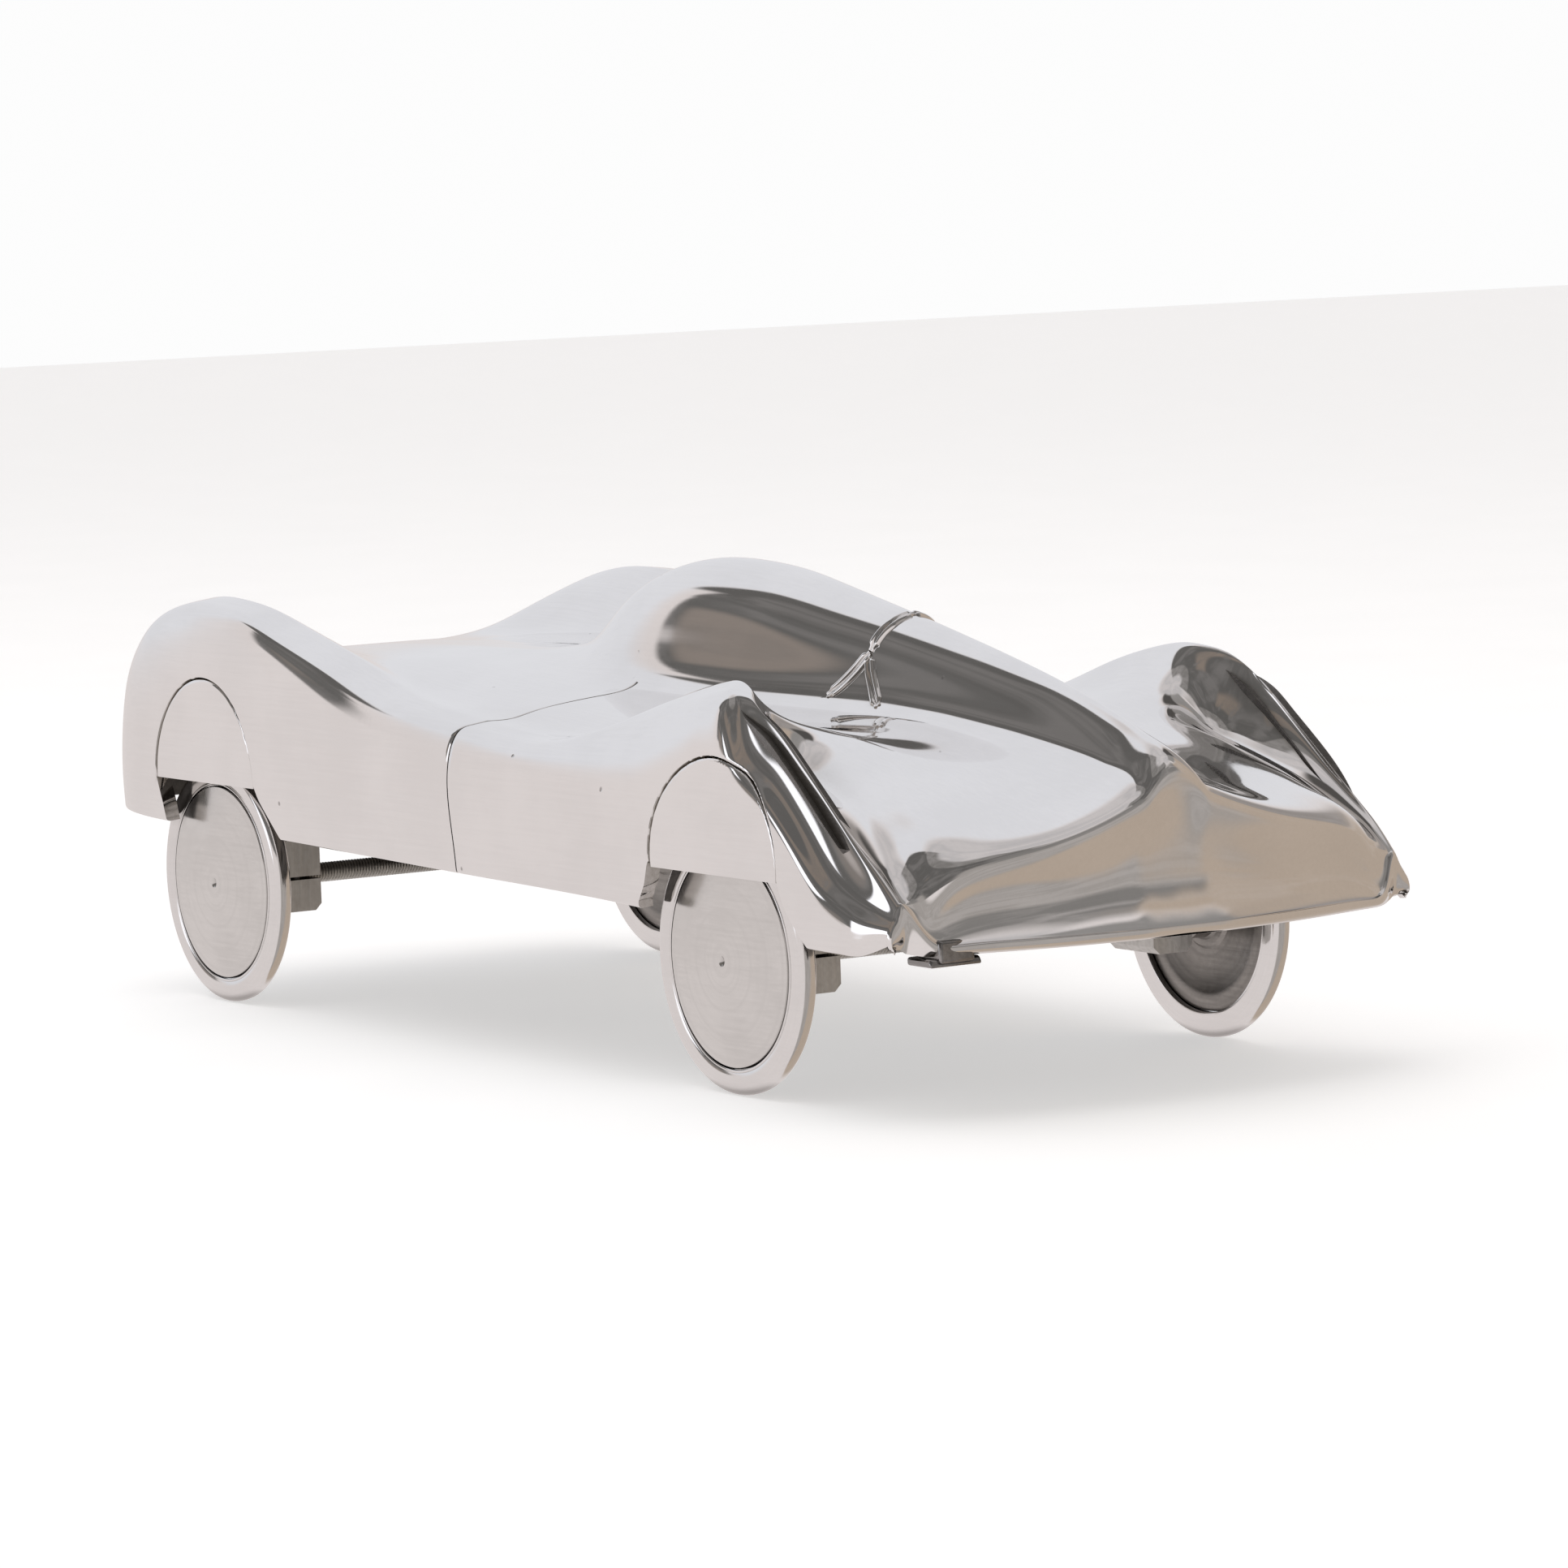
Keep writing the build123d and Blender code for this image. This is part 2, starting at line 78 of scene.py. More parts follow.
# ---------------------------------------------------------------- body lines
# Long lines of the left half, from the sill up to the roof: (x, y, z), measured from a
# point 5.5 mm behind the origin. Some end in three points that turn down the nose face.
STATION_SHIFT = -5.5
LINES = {
    "sill": [(-216, 72, 57), (-212, 80, 55.5), (-204, 84.5, 55), (-188, 86.5, 54), (-100, 87, 52.5),
        (0, 87.5, 50.5), (75, 87.5, 49), (150, 87.5, 45.5), (185, 87, 43.5), (203, 86, 43.2),
        (212, 82.3, 46.3)],
    "side": [(-217, 71, 68), (-213, 79, 70), (-204, 85, 72), (-188, 87.5, 74), (-100, 88.5, 74),
        (0, 89, 71), (75, 89, 69), (128, 89, 66), (150, 88.5, 61), (168, 88.5, 55), (190, 88, 48),
        (203, 87, 45.8), (212, 83, 47.3)],
    "cheek": [(-217, 69, 82), (-213, 76.5, 90), (-204, 82.5, 95), (-188, 85, 105),
        (-157, 86.5, 109), (-120, 87, 104), (-80, 87.5, 94), (-40, 88, 86.5), (0, 88, 84),
        (60, 88, 83), (95, 88, 85), (125, 87.5, 90), (138, 87.5, 88), (147, 87.5, 82),
        (158, 87.5, 76), (167, 87.5, 70), (175, 87.5, 64), (182, 87.5, 58), (190, 87.5, 52.5),
        (201, 87, 49), (212, 83.3, 48.8)],
    "shoulder": [(-217, 65.5, 89.3), (-213, 72, 97.7), (-204, 77.5, 103), (-188, 81, 111.9),
        (-157, 83.5, 118), (-130, 84.5, 116.5), (-105, 85.1, 110.5), (-70, 84.7, 101),
        (-40, 85, 94.5), (0, 85, 90.5), (40, 84.5, 88), (70, 83, 90.7), (95, 81.5, 96.1),
        (115, 81.5, 101.5), (130, 82.5, 104.5), (139, 84.5, 102.5), (143, 86, 95.5),
        (149, 86.6, 87.5), (158, 86.6, 83), (167, 86.6, 77), (175, 86.6, 70.3), (182, 86.5, 63.8),
        (190, 86.5, 57.6), (201, 86, 54), (212, 83, 51)],
    "hollow": [(-217, 65, 90), (-213, 70.5, 99.2), (-204, 75, 105.2), (-188, 78, 113.7),
        (-157, 80, 120), (-130, 81, 118.3), (-105, 81, 112.3), (-70, 79.9, 103.4),
        (-40, 80.5, 96.3), (0, 81, 91.8), (40, 81, 89.2), (70, 78.5, 94.4), (95, 77, 101.2),
        (115, 77, 105), (130, 78, 107.2), (139, 79.7, 107.5), (144, 82, 99), (150, 82.5, 92.5),
        (158, 82.5, 87.5), (167, 82.5, 80.8), (175, 82.5, 74.5), (182, 82.5, 69), (190, 82.5, 63),
        (201, 82.5, 57.5), (212, 81.5, 53.2)],
    "ridge_o": [(-217, 61.5, 90.5), (-213, 65.5, 100.7), (-204, 68.5, 106.7), (-188, 71.5, 115.2),
        (-157, 73.5, 120.8), (-130, 75, 119.2), (-105, 75.1, 113.4), (-70, 74.6, 104.6),
        (-40, 76.5, 97.2), (0, 77.5, 92.4), (40, 77.5, 89.6), (70, 75, 94.9), (95, 73.5, 102.2),
        (115, 73.5, 107), (130, 75, 109.2), (140, 78.7, 107), (150, 80, 101.3), (158, 79.7, 96.8),
        (165, 79.8, 92), (172, 79.9, 86.8), (179, 80.1, 81.4), (186, 80.3, 76), (193, 80.6, 71.2),
        (199, 80.8, 66.5), (206.5, 80.8, 61), (212.5, 80.4, 55)],
    "ridge": [(-217, 61, 90.5), (-213, 64, 100.7), (-204, 67, 107), (-188, 70, 115.4),
        (-157, 72, 120.9), (-130, 73.5, 119.3), (-105, 73.9, 113.5), (-70, 73.1, 104.7),
        (-40, 75, 97.3), (0, 76, 92.6), (40, 76, 89.8), (70, 73.5, 95.1), (95, 72, 102.4),
        (115, 72, 107.3), (130, 73.5, 109.5), (141, 76.5, 107.8), (150, 79, 102.9),
        (158, 78.6, 98.7), (165, 78.6, 93.7), (172, 78.8, 88.5), (179, 79, 83.1), (186, 79.2, 77.7),
        (193, 79.2, 72.9), (199, 79.2, 68.2), (206.5, 79, 63), (213, 79, 57)],
    "ridge_i": [(-217, 59, 90.5), (-213, 62, 100.5), (-204, 65, 106.9), (-188, 67.5, 115),
        (-157, 69.5, 120.3), (-130, 71, 118.5), (-105, 71.4, 113.1), (-70, 71.1, 104.5),
        (-40, 73, 97.2), (0, 74, 92.7), (40, 74, 89.9), (70, 71.5, 95.2), (95, 70, 102.4),
        (115, 70, 107.2), (130, 71.5, 109.2), (141, 74.2, 106.5), (150, 77.8, 100.5),
        (158, 77.6, 95.8), (165, 77.6, 90.8), (172, 77.8, 85.6), (179, 78, 80.2), (186, 78.1, 74.8),
        (193, 77.6, 71.2), (199, 77.2, 66.8), (206.5, 76.8, 62.2), (213.5, 76.8, 56)],
    "valley": [(-217, 50, 90.4), (-213, 52, 98.9), (-204, 54, 104.8), (-188, 55, 110.6),
        (-157, 58, 114.5), (-130, 61, 112.5), (-105, 62.5, 108.3), (-70, 64.4, 101.4),
        (-40, 66.5, 96), (0, 67, 92.8), (40, 66, 90), (70, 64, 92), (95, 63, 96.5),
        (115, 64, 101.5), (128, 66.5, 104.5), (136, 67, 101.5), (141, 67.5, 94), (146, 67.5, 87.5),
        (152, 67.5, 84), (160, 67.5, 81.8), (172, 67.5, 78.8), (185, 68, 75), (198, 69, 69.2),
        (212, 71, 62), (215, 71, 53), (216.5, 71.5, 47)],
    "edge": [(-217, 41, 91), (-213, 42, 98), (-204, 43, 101.5), (-188, 43, 104), (-157, 45, 104.8),
        (-130, 48, 104.2), (-105, 50.7, 103), (-70, 56.1, 99.8), (-40, 58, 97), (0, 58, 95),
        (40, 56, 92.7), (70, 54, 92), (95, 53, 93.5), (115, 54, 96), (128, 56, 97.5),
        (140, 56, 95.5), (152, 55.5, 91.5), (167, 57.5, 86.8), (181, 59.5, 82), (198, 61, 76),
        (212, 62, 70.5), (219.5, 61.5, 64), (214, 62.5, 56), (218.7, 62.5, 47)],
    "deck": [(-217, 28, 90), (-213, 28, 96.5), (-204, 28, 99.5), (-188, 29, 101.3),
        (-157, 31, 102.3), (-130, 33, 102.7), (-70, 38, 101.5), (-40, 40, 99.5), (0, 40, 97),
        (40, 38, 94.8), (70, 37, 93.8), (100, 36, 93.5), (125, 35, 93.5), (140, 35, 92.5),
        (152, 35, 90.5), (167, 35, 87.2), (181, 35, 84), (198, 35, 79.5), (212, 35, 75),
        (226.5, 37, 69.5), (218, 39, 58), (224.5, 41, 47)],
    "base": [(-217, 14, 89), (-213, 14, 95.8), (-204, 14, 98.8), (-188, 15, 101), (-157, 16, 102.3),
        (-130, 17, 103), (-80, 20, 103), (-45, 24, 101.5), (-15, 26, 100), (20, 25, 98.5),
        (50, 23, 97), (78, 21, 96.2), (100, 19.5, 95.5), (115, 18.5, 95), (135, 17, 93.8),
        (152, 16, 92), (167, 15, 90.3), (181, 14, 88.5), (198, 13, 86), (212, 12.5, 83),
        (227, 15, 76.5), (218.5, 18, 61), (227.2, 21, 47)],
    "wall": [(-217, 8, 89), (-213, 8, 95.8), (-204, 8, 98.8), (-188, 8, 101), (-130, 9, 103.2),
        (-80, 11, 104), (-55, 13, 104.5), (-38, 17, 106), (-20, 20, 109), (0, 20.5, 111),
        (40, 18.5, 110), (78, 15.5, 107), (100, 13.5, 105), (135, 11, 101), (152, 10, 98.5),
        (167, 9.2, 96), (181, 8.8, 93.5), (198, 8.3, 90.5), (212, 8.2, 87), (227.5, 9, 80.5),
        (219, 11, 62), (228, 13, 47)],
    "brow": [(-217, 4, 89), (-213, 4, 95.8), (-204, 4, 98.8), (-188, 4, 101), (-130, 4.5, 103.2),
        (-80, 5.5, 104.2), (-60, 7, 106), (-43, 10, 111.5), (-25, 14, 120.5), (0, 15.5, 127.5),
        (20, 14.8, 128.5), (40, 13.6, 127), (78, 10.8, 120.5), (100, 9.2, 116.8), (135, 7.3, 110),
        (152, 6.5, 106.4), (167, 5.8, 103.2), (181, 5.2, 99.8), (198, 4.8, 95.6), (212, 4.6, 91),
        (227.5, 4.8, 84), (219, 6, 62.5), (228, 6.5, 47)],
    "roof": [(-217, 0, 89), (-213, 0, 95.8), (-204, 0, 98.8), (-188, 0, 101), (-130, 0, 103.2),
        (-85, 0, 104.3), (-66, 0, 106.5), (-48, 0, 113), (-30, 0, 122.5), (-10, 0, 130.5),
        (8, 0, 133.5), (25, 0, 133.6), (54, 0, 130.5), (78, 0, 126.5), (102, 0, 122),
        (126, 0, 117.3), (145, 0, 113.4), (163, 0, 109.3), (181, 0, 104.7), (198, 0, 99.3),
        (212, 0, 93.8), (227.5, 0, 85.5), (219, 0, 63), (228, 0, 47)],
}
STATIONS = [-217, -213, -204, -188, -172, -157, -143, -130, -118, -105, -88, -70, -55, -40,
            -25, -10, 5, 20, 40, 55, 70, 83, 95, 105, 115, 124, 131, 137, 142, 147, 153, 160,
            168, 177, 187, 198, 205, 212]
LIP_STATION = 213.0
TAIL_FLOOR_Z = 57.0
LIP_FLOOR_Z = 43.2
TIP_LIFT = 2.2          # the lip rises this much at the pointed fender tips
TIP_INSET = 1.4         # and its foot is drawn in by this much there
NARROW_FROM_X = {-1: 196.0, 1: 188.0}      # by the way that end faces
MIN_WALL = 0.6          # least wall aimed at near the ends
RIDGE_INDEX = list(LINES).index("ridge_o")
VALLEY_INDEX = list(LINES).index("valley")


def monotone(keys, x):
    """y and z at x along one line, on a monotone cubic through its keys."""
    rising = [keys[0]]
    for key in keys[1:]:
        if key[0] <= rising[-1][0]:
            break
        rising.append(key)
    k = np.array(rising, float)
    h = np.diff(k[:, 0])
    i = np.clip(np.searchsorted(k[:, 0], x, side="right") - 1, 0, len(h) - 1)
    t = np.clip((x - k[i, 0]) / h[i], 0, 1)
    result = []
    for column in (1, 2):
        v = k[:, column]
        d = np.diff(v) / h
        m = np.zeros_like(v)
        for j in range(1, len(v) - 1):
            if d[j - 1] * d[j] > 0:
                w0, w1 = 2 * h[j] + h[j - 1], h[j] + 2 * h[j - 1]
                m[j] = (w0 + w1) / (w0 / d[j - 1] + w1 / d[j])
        m[0], m[-1] = d[0], d[-1]
        result.append((2 * t**3 - 3 * t**2 + 1) * v[i] + (t**3 - 2 * t**2 + t) * h[i] * m[i]
                      + (3 * t**2 - 2 * t**3) * v[i + 1] + (t**3 - t**2) * h[i] * m[i + 1])
    return result


def control_net():
    """Control points: tail panel, body stations, nose face, lip. Shape (rows, lines, 3)."""
    xs = np.array(STATIONS, float)
    columns = []
    for keys in LINES.values():
        y, z = monotone(keys, xs)
        body = np.stack([xs, y, z], 1)
        if keys[-2][0] < keys[-3][0]:
            face = np.array(keys[-3:], float)
        else:
            end = np.array(keys[-1], float)
            if end[0] < LIP_STATION:
                end += (LIP_STATION - end[0], 0, -1.0)
            face = np.stack([body[-1] + (end - body[-1]) * t for t in (0.4, 0.75, 1.0)])
        columns.append(np.vstack([body, face]))
    net = np.stack(columns, 1)

    first = net[0]
    tail = []
    for share, back, inset in ((1.0, -1.5, 1.0), (0.55, -0.3, 1.0), (0.15, -0.6, 0.995)):
        row = first.copy()
        row[:, 0] -= back
        row[:, 1] *= inset
        row[:, 2] += share * (TAIL_FLOOR_Z - first[:, 2]) * (first[:, 2] > TAIL_FLOOR_Z)
        tail.append(row)

    last = net[-1]
    at_tip = np.clip((VALLEY_INDEX - np.arange(len(last))) / 3.0, 0, 1)
    floor = LIP_FLOOR_Z + TIP_LIFT * at_tip
    lip = []
    for share, forward in ((0.15, 0.9), (0.6, 1.3), (1.0, -0.6)):
        row = last.copy()
        row[:, 0] += forward
        row[:, 1] -= share * TIP_INSET * at_tip
        row[:, 2] += share * (floor - last[:, 2])
        lip.append(row)
    net = np.concatenate([np.stack(tail), net, np.stack(lip)])
    net[..., 0] += STATION_SHIFT
    return net


def spline_weights(count, u):
    """Uniform cubic B-spline weights of count + 2 padded points at each parameter."""
    i = np.clip(u.astype(int), 0, count - 2)
    t = u - i
    weights = np.zeros((len(u), count + 2))
    row = np.arange(len(u))
    weights[row, i] = (1 - t) ** 3 / 6
    weights[row, i + 1] = (3 * t**3 - 6 * t**2 + 4) / 6
    weights[row, i + 2] = (-3 * t**3 + 3 * t**2 + 3 * t + 1) / 6
    weights[row, i + 3] = t**3 / 6
    return weights


def padded(net):
    """Net with a row added beyond each edge; beyond the roof it is the mirror image."""
    net = np.concatenate([2 * net[:1] - net[1:2], net, 2 * net[-1:] - net[-2:-1]])
    mirror = net[:, -2:-1].copy()
    mirror[..., 1] *= -1
    return np.concatenate([2 * net[:, :1] - net[:, 1:2], net, mirror], 1)


def spline_surface(net, u, v):
    wu, wv = spline_weights(net.shape[0], u), spline_weights(net.shape[1], v)
    return np.einsum("ai,bj,ijc->abc", wu, wv, padded(net))


def smooth_grid(grid, rounds):
    """Average each grid point with its neighbours; the border rows stay."""
    for _ in range(rounds):
        inner = grid[1:-1, 1:-1]
        around = (grid[2:, 1:-1] + grid[:-2, 1:-1] + grid[1:-1, 2:] + grid[1:-1, :-2]) / 4
        grid = grid.copy()
        grid[1:-1, 1:-1] = (inner + around) / 2
    return grid


def grid_normals(grid):
    n = np.cross(np.gradient(grid, axis=1), np.gradient(grid, axis=0))
    return n / np.maximum(np.linalg.norm(n, axis=2, keepdims=True), 1e-9)


U_STEPS, V_STEPS = 8, 12          # mesh rows between two control rows, and two lines
EDGE_ROWS = (0.0, 0.02, 0.05, 0.1, 0.2)
SKIN_EASING, INSIDE_EASING = 8, 10     # rounds of smoothing before and after the wall is taken off
SILL_RADIUS = 1.0


def kept_inside(inner, outer):
    """Near both ends, where the body is narrower than its wall, keep the inside in the outside."""
    for end_row, facing in ((0, -1), (-1, 1)):
        near = outer[..., 0] * facing > NARROW_FROM_X[facing]
        deepest = outer[..., 0] - facing * MIN_WALL
        x = np.minimum(inner[..., 0] * facing, deepest * facing) * facing
        within = np.maximum(np.abs(outer[..., 1]) - MIN_WALL, 0)
        y = np.sign(outer[..., 1]) * np.minimum(np.abs(inner[..., 1]), within)
        z = np.maximum(inner[..., 2], outer[end_row, :, 2] + 0.1)
        inner = np.where(near[..., None], np.stack([x, y, z], -1), inner)
    return inner


def body_skin():
    """Points of the whole outer and inner skin with their line parameter, and the quads."""
    net = control_net()
    fitted = net.copy()
    whole_u = np.arange(net.shape[0], dtype=float)
    whole_v = np.arange(net.shape[1], dtype=float)
    fitted += net - spline_surface(fitted, whole_u, whole_v)
    u = np.linspace(0, net.shape[0] - 1, (net.shape[0] - 1) * U_STEPS + 1)
    v = np.linspace(0, net.shape[1] - 1, (net.shape[1] - 1) * V_STEPS + 1)
    v = np.unique(np.concatenate([EDGE_ROWS, v]))
    half = spline_surface(fitted, u, v)
    other = half[:, -2::-1].copy()
    other[..., 1] *= -1
    outer = np.concatenate([half, other], 1)
    line = np.concatenate([v, v[-2::-1]])
    normal = grid_normals(outer)
    eased = smooth_grid(outer, SKIN_EASING)
    inner = smooth_grid(eased - grid_normals(eased) * WALL, INSIDE_EASING)
    inner = kept_inside(inner, outer)
    # the sills are rounded over
    sill = np.minimum(np.linalg.norm(outer - outer[:, :1], axis=2),
                      np.linalg.norm(outer - outer[:, -1:], axis=2))
    outer = outer - normal * edge_drop(sill, SILL_RADIUS)[..., None]
    rows, columns = outer.shape[:2]
    points = np.concatenate([outer.reshape(-1, 3), inner.reshape(-1, 3), normal.reshape(-1, 3),
                             np.tile(line, rows)[:, None]], 1)
    index = np.arange(rows * columns).reshape(rows, columns)
    quads = np.stack([index[:-1, :-1], index[:-1, 1:], index[1:, 1:], index[1:, :-1]], -1)
    return points, [tuple(q) for q in quads.reshape(-1, 4).tolist()]


def edge_drop(distance, radius):
    """How far a rounded edge of that radius lies below the surface."""
    inside = np.clip(radius - distance, 0, radius)
    return radius - np.sqrt(radius**2 - inside**2)


class Skin:
    """Body surface as a growing list of points (outer, inner, normal, line) and faces."""

    def __init__(self, points):
        self.points = points

    def split(self, faces, field):
        """Cut faces along field = 0; returns those below and those above zero."""
        value = field(self.points)
        value[np.abs(value) < 1e-3] = 1e-3
        above_zero = value > 0
        below, above, fresh, cuts = [], [], [], {}
        for face in faces:
            flags = [above_zero[i] for i in face]
            if all(flags):
                above.append(face)
            elif not any(flags):
                below.append(face)
            else:
                low, high = [], []
                for a, b in zip(face, face[1:] + face[:1]):
                    (high if above_zero[a] else low).append(a)
                    if above_zero[a] != above_zero[b]:
                        key = (min(a, b), max(a, b))
                        if key not in cuts:
                            cuts[key] = len(self.points) + len(fresh)
                            t = value[key[0]] / (value[key[0]] - value[key[1]])
                            fresh.append(self.points[key[0]] * (1 - t) + self.points[key[1]] * t)
                        low.append(cuts[key])
                        high.append(cuts[key])
                below.append(tuple(low))
                above.append(tuple(high))
        if fresh:
            self.points = np.vstack([self.points, fresh])
        return below, above

    def score(self, faces, field, offsets):
        """Add edge loops along field = offset without separating the faces."""
        for offset in offsets:
            below, above = self.split(faces, lambda p, o=offset: field(p) - o)
            faces = below + above
        return faces

    def sink(self, depth):
        """Move the outer points in along their normals by depth, one number per point."""
        self.points[:, :3] -= self.points[:, 6:9] * depth[:, None]


def polygon_distance(x, z, corners):
    """Signed distance to a polygon, negative inside."""
    corners = np.array(corners, float)
    nearest = np.full(x.shape, 1e9)
    inside = np.zeros(x.shape, bool)
    for (ax, az), (bx, bz) in zip(corners, np.roll(corners, -1, 0)):
        ex, ez = bx - ax, bz - az
        t = np.clip(((x - ax) * ex + (z - az) * ez) / (ex * ex + ez * ez), 0, 1)
        nearest = np.minimum(nearest, np.hypot(x - ax - t * ex, z - az - t * ez))
        with np.errstate(divide="ignore", invalid="ignore"):
            crosses = ((az > z) != (bz > z)) & (x < (bx - ax) * (z - az) / (bz - az) + ax)
        inside ^= crosses
    return np.where(inside, -nearest, nearest)


FAR = 50.0                 # a distance larger than any that matters
SIDE_WALL_Y = 60.0         # the side walls lie further out than this
CANOPY_FLOOR_Z = 90.0      # the canopy lies above this


def on_wall(p, side, distance):
    """Distance on the side wall of one side; far away everywhere else."""
    return np.where((p[:, 1] * side > SIDE_WALL_Y) & (p[:, 9] < RIDGE_INDEX - 1), distance, FAR)


def arch_field(end, side):
    cx, cz = ARCH_CENTRE[end]
    return lambda p: on_wall(p, side, np.hypot(p[:, 0] - cx, p[:, 2] - cz) - ARCH_RADIUS)


def mouth_field(end, side):
    cx, cz = ARCH_CENTRE[end]
    return lambda p: on_wall(p, side, polygon_distance(p[:, 0] - cx, p[:, 2] - cz, MOUTH[end]))


def canopy_field(p):
    plan = CANOPY_PLAN + [(x, -y) for x, y in reversed(CANOPY_PLAN[1:-1])]
    distance = polygon_distance(p[:, 0], p[:, 1], plan)
    return np.where(p[:, 2] > CANOPY_FLOOR_Z, distance, FAR)


def seam_field(p):
    wave = 0.5 * np.sin(p[:, 2] / 7.0) + 0.35 * np.sin(p[:, 1] / 11.0 + 1.0)
    return p[:, 0] - SEAM_X - wave


# ---------------------------------------------------------------- meshes
def add_mesh(name, points, faces, body, material, slot, stands_for=(), centre=None, sharp=35.0,
             lining=None, lining_start=0):
    """New piece from points in millimetres; centre, if given, becomes its object origin.

    Faces from number lining_start on get the lining material, if there is one.
    """
    points = np.asarray(points, float) * MM
    mesh = bpy.data.meshes.new(name)
    origin = Vector((0, 0, 0)) if centre is None else Vector(centre) * MM
    mesh.from_pydata((points - np.array(origin)).tolist(), [], [list(f) for f in faces])
    mesh.materials.append(material)
    if lining:
        mesh.materials.append(lining)
        mesh.polygons.foreach_set("material_index",
                                  (np.arange(len(faces)) >= lining_start).astype(np.int32))
    mesh.validate()
    mesh.shade_smooth()
    mesh.set_sharp_from_angle(angle=math.radians(sharp))
    piece = bpy.data.objects.new(name, mesh)
    piece.location = origin
    scene.collection.objects.link(piece)
    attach(piece, body)
    if stands_for:
        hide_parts(*stands_for)
    return piece


def shell_mesh(skin, faces):
    """Closed shell: outer faces, inner faces and a rim along every open edge."""
    used = sorted({i for face in faces for i in face})
    place = {old: new for new, old in enumerate(used)}
    count = len(used)
    points = np.vstack([skin.points[used, 0:3], skin.points[used, 3:6]])
    outer = [tuple(place[i] for i in face) for face in faces]
    edges = set()
    for face in outer:
        edges.update(zip(face, face[1:] + face[:1]))
    rim = [(b, a, a + count, b + count) for a, b in edges if (b, a) not in edges]
    inner = [tuple(i + count for i in reversed(face)) for face in outer]
    return points, outer + rim + inner, len(outer) + len(rim)


def lathe(profile, segments, centre, side):
    """Closed profile of (y, radius) turned about the Y axis through centre."""
    profile = np.array(profile, float)
    angle = np.linspace(0, 2 * math.pi, segments, endpoint=False)
    rows = [np.stack([np.full(segments, centre[0]) + r * np.cos(angle),
                      np.full(segments, side * y),
                      np.full(segments, centre[2]) + r * np.sin(angle)], 1) for y, r in profile]
    points = np.concatenate(rows)
    faces = []
    count = len(profile)
    for i in range(count):
        j = (i + 1) % count
        if profile[i, 1] < 1e-6 and profile[j, 1] < 1e-6:
            continue
        for k in range(segments):
            m = (k + 1) % segments
            face = (i * segments + k, i * segments + m, j * segments + m, j * segments + k)
            faces.append(face if side > 0 else face[::-1])
    return points, faces


def arc(centre_y, centre_r, radius, start, end, steps):
    """Points of an arc in a lathe profile; angles in degrees from +y towards +radius."""
    angle = np.radians(np.linspace(start, end, steps))
    return [(centre_y + radius * math.cos(a), centre_r + radius * math.sin(a)) for a in angle]


# ---------------------------------------------------------------- materials
class Nodes:
    """Short calls for building a node tree."""

    def __init__(self, tree):
        self.tree = tree
        tree.nodes.clear()

    def add(self, kind, inputs=None, **settings):
        node = self.tree.nodes.new(kind)
        for name, value in settings.items():
            setattr(node, name, value)
        for name, value in (inputs or {}).items():
            if isinstance(value, bpy.types.NodeSocket):
                self.tree.links.new(value, node.inputs[name])
            else:
                node.inputs[name].default_value = value
        return node

    def math(self, operation, a, b=0.0, clamp=False):
        return self.add("ShaderNodeMath", {0: a, 1: b}, operation=operation,
                        use_clamp=clamp).outputs[0]

    def smooth(self, value, low, high, to_low=0.0, to_high=1.0):
        """Smooth step of value from low to high."""
        return self.add("ShaderNodeMapRange", {"Value": value, "From Min": low, "From Max": high,
                                               "To Min": to_low, "To Max": to_high},
                        interpolation_type="SMOOTHSTEP").outputs[0]

    def mix(self, factor, a, b):
        node = self.add("ShaderNodeMix", data_type="RGBA")
        for socket, value in ((node.inputs[0], factor), (node.inputs[6], a), (node.inputs[7], b)):
            if isinstance(value, bpy.types.NodeSocket):
                self.tree.links.new(value, socket)
            else:
                socket.default_value = value if isinstance(value, float) else (*value, 1.0)
        return node.outputs[2]

    def noise(self, vector, scale, detail=3.0, roughness=0.5, distortion=0.0):
        return self.add("ShaderNodeTexNoise", {"Vector": vector, "Scale": scale, "Detail": detail,
                                               "Roughness": roughness,
                                               "Distortion": distortion}).outputs["Fac"]

    def stretched(self, vector, scale, rotation=(0.0, 0.0, 0.0)):
        return self.add("ShaderNodeMapping", {"Vector": vector, "Scale": scale,
                                              "Rotation": rotation}).outputs[0]


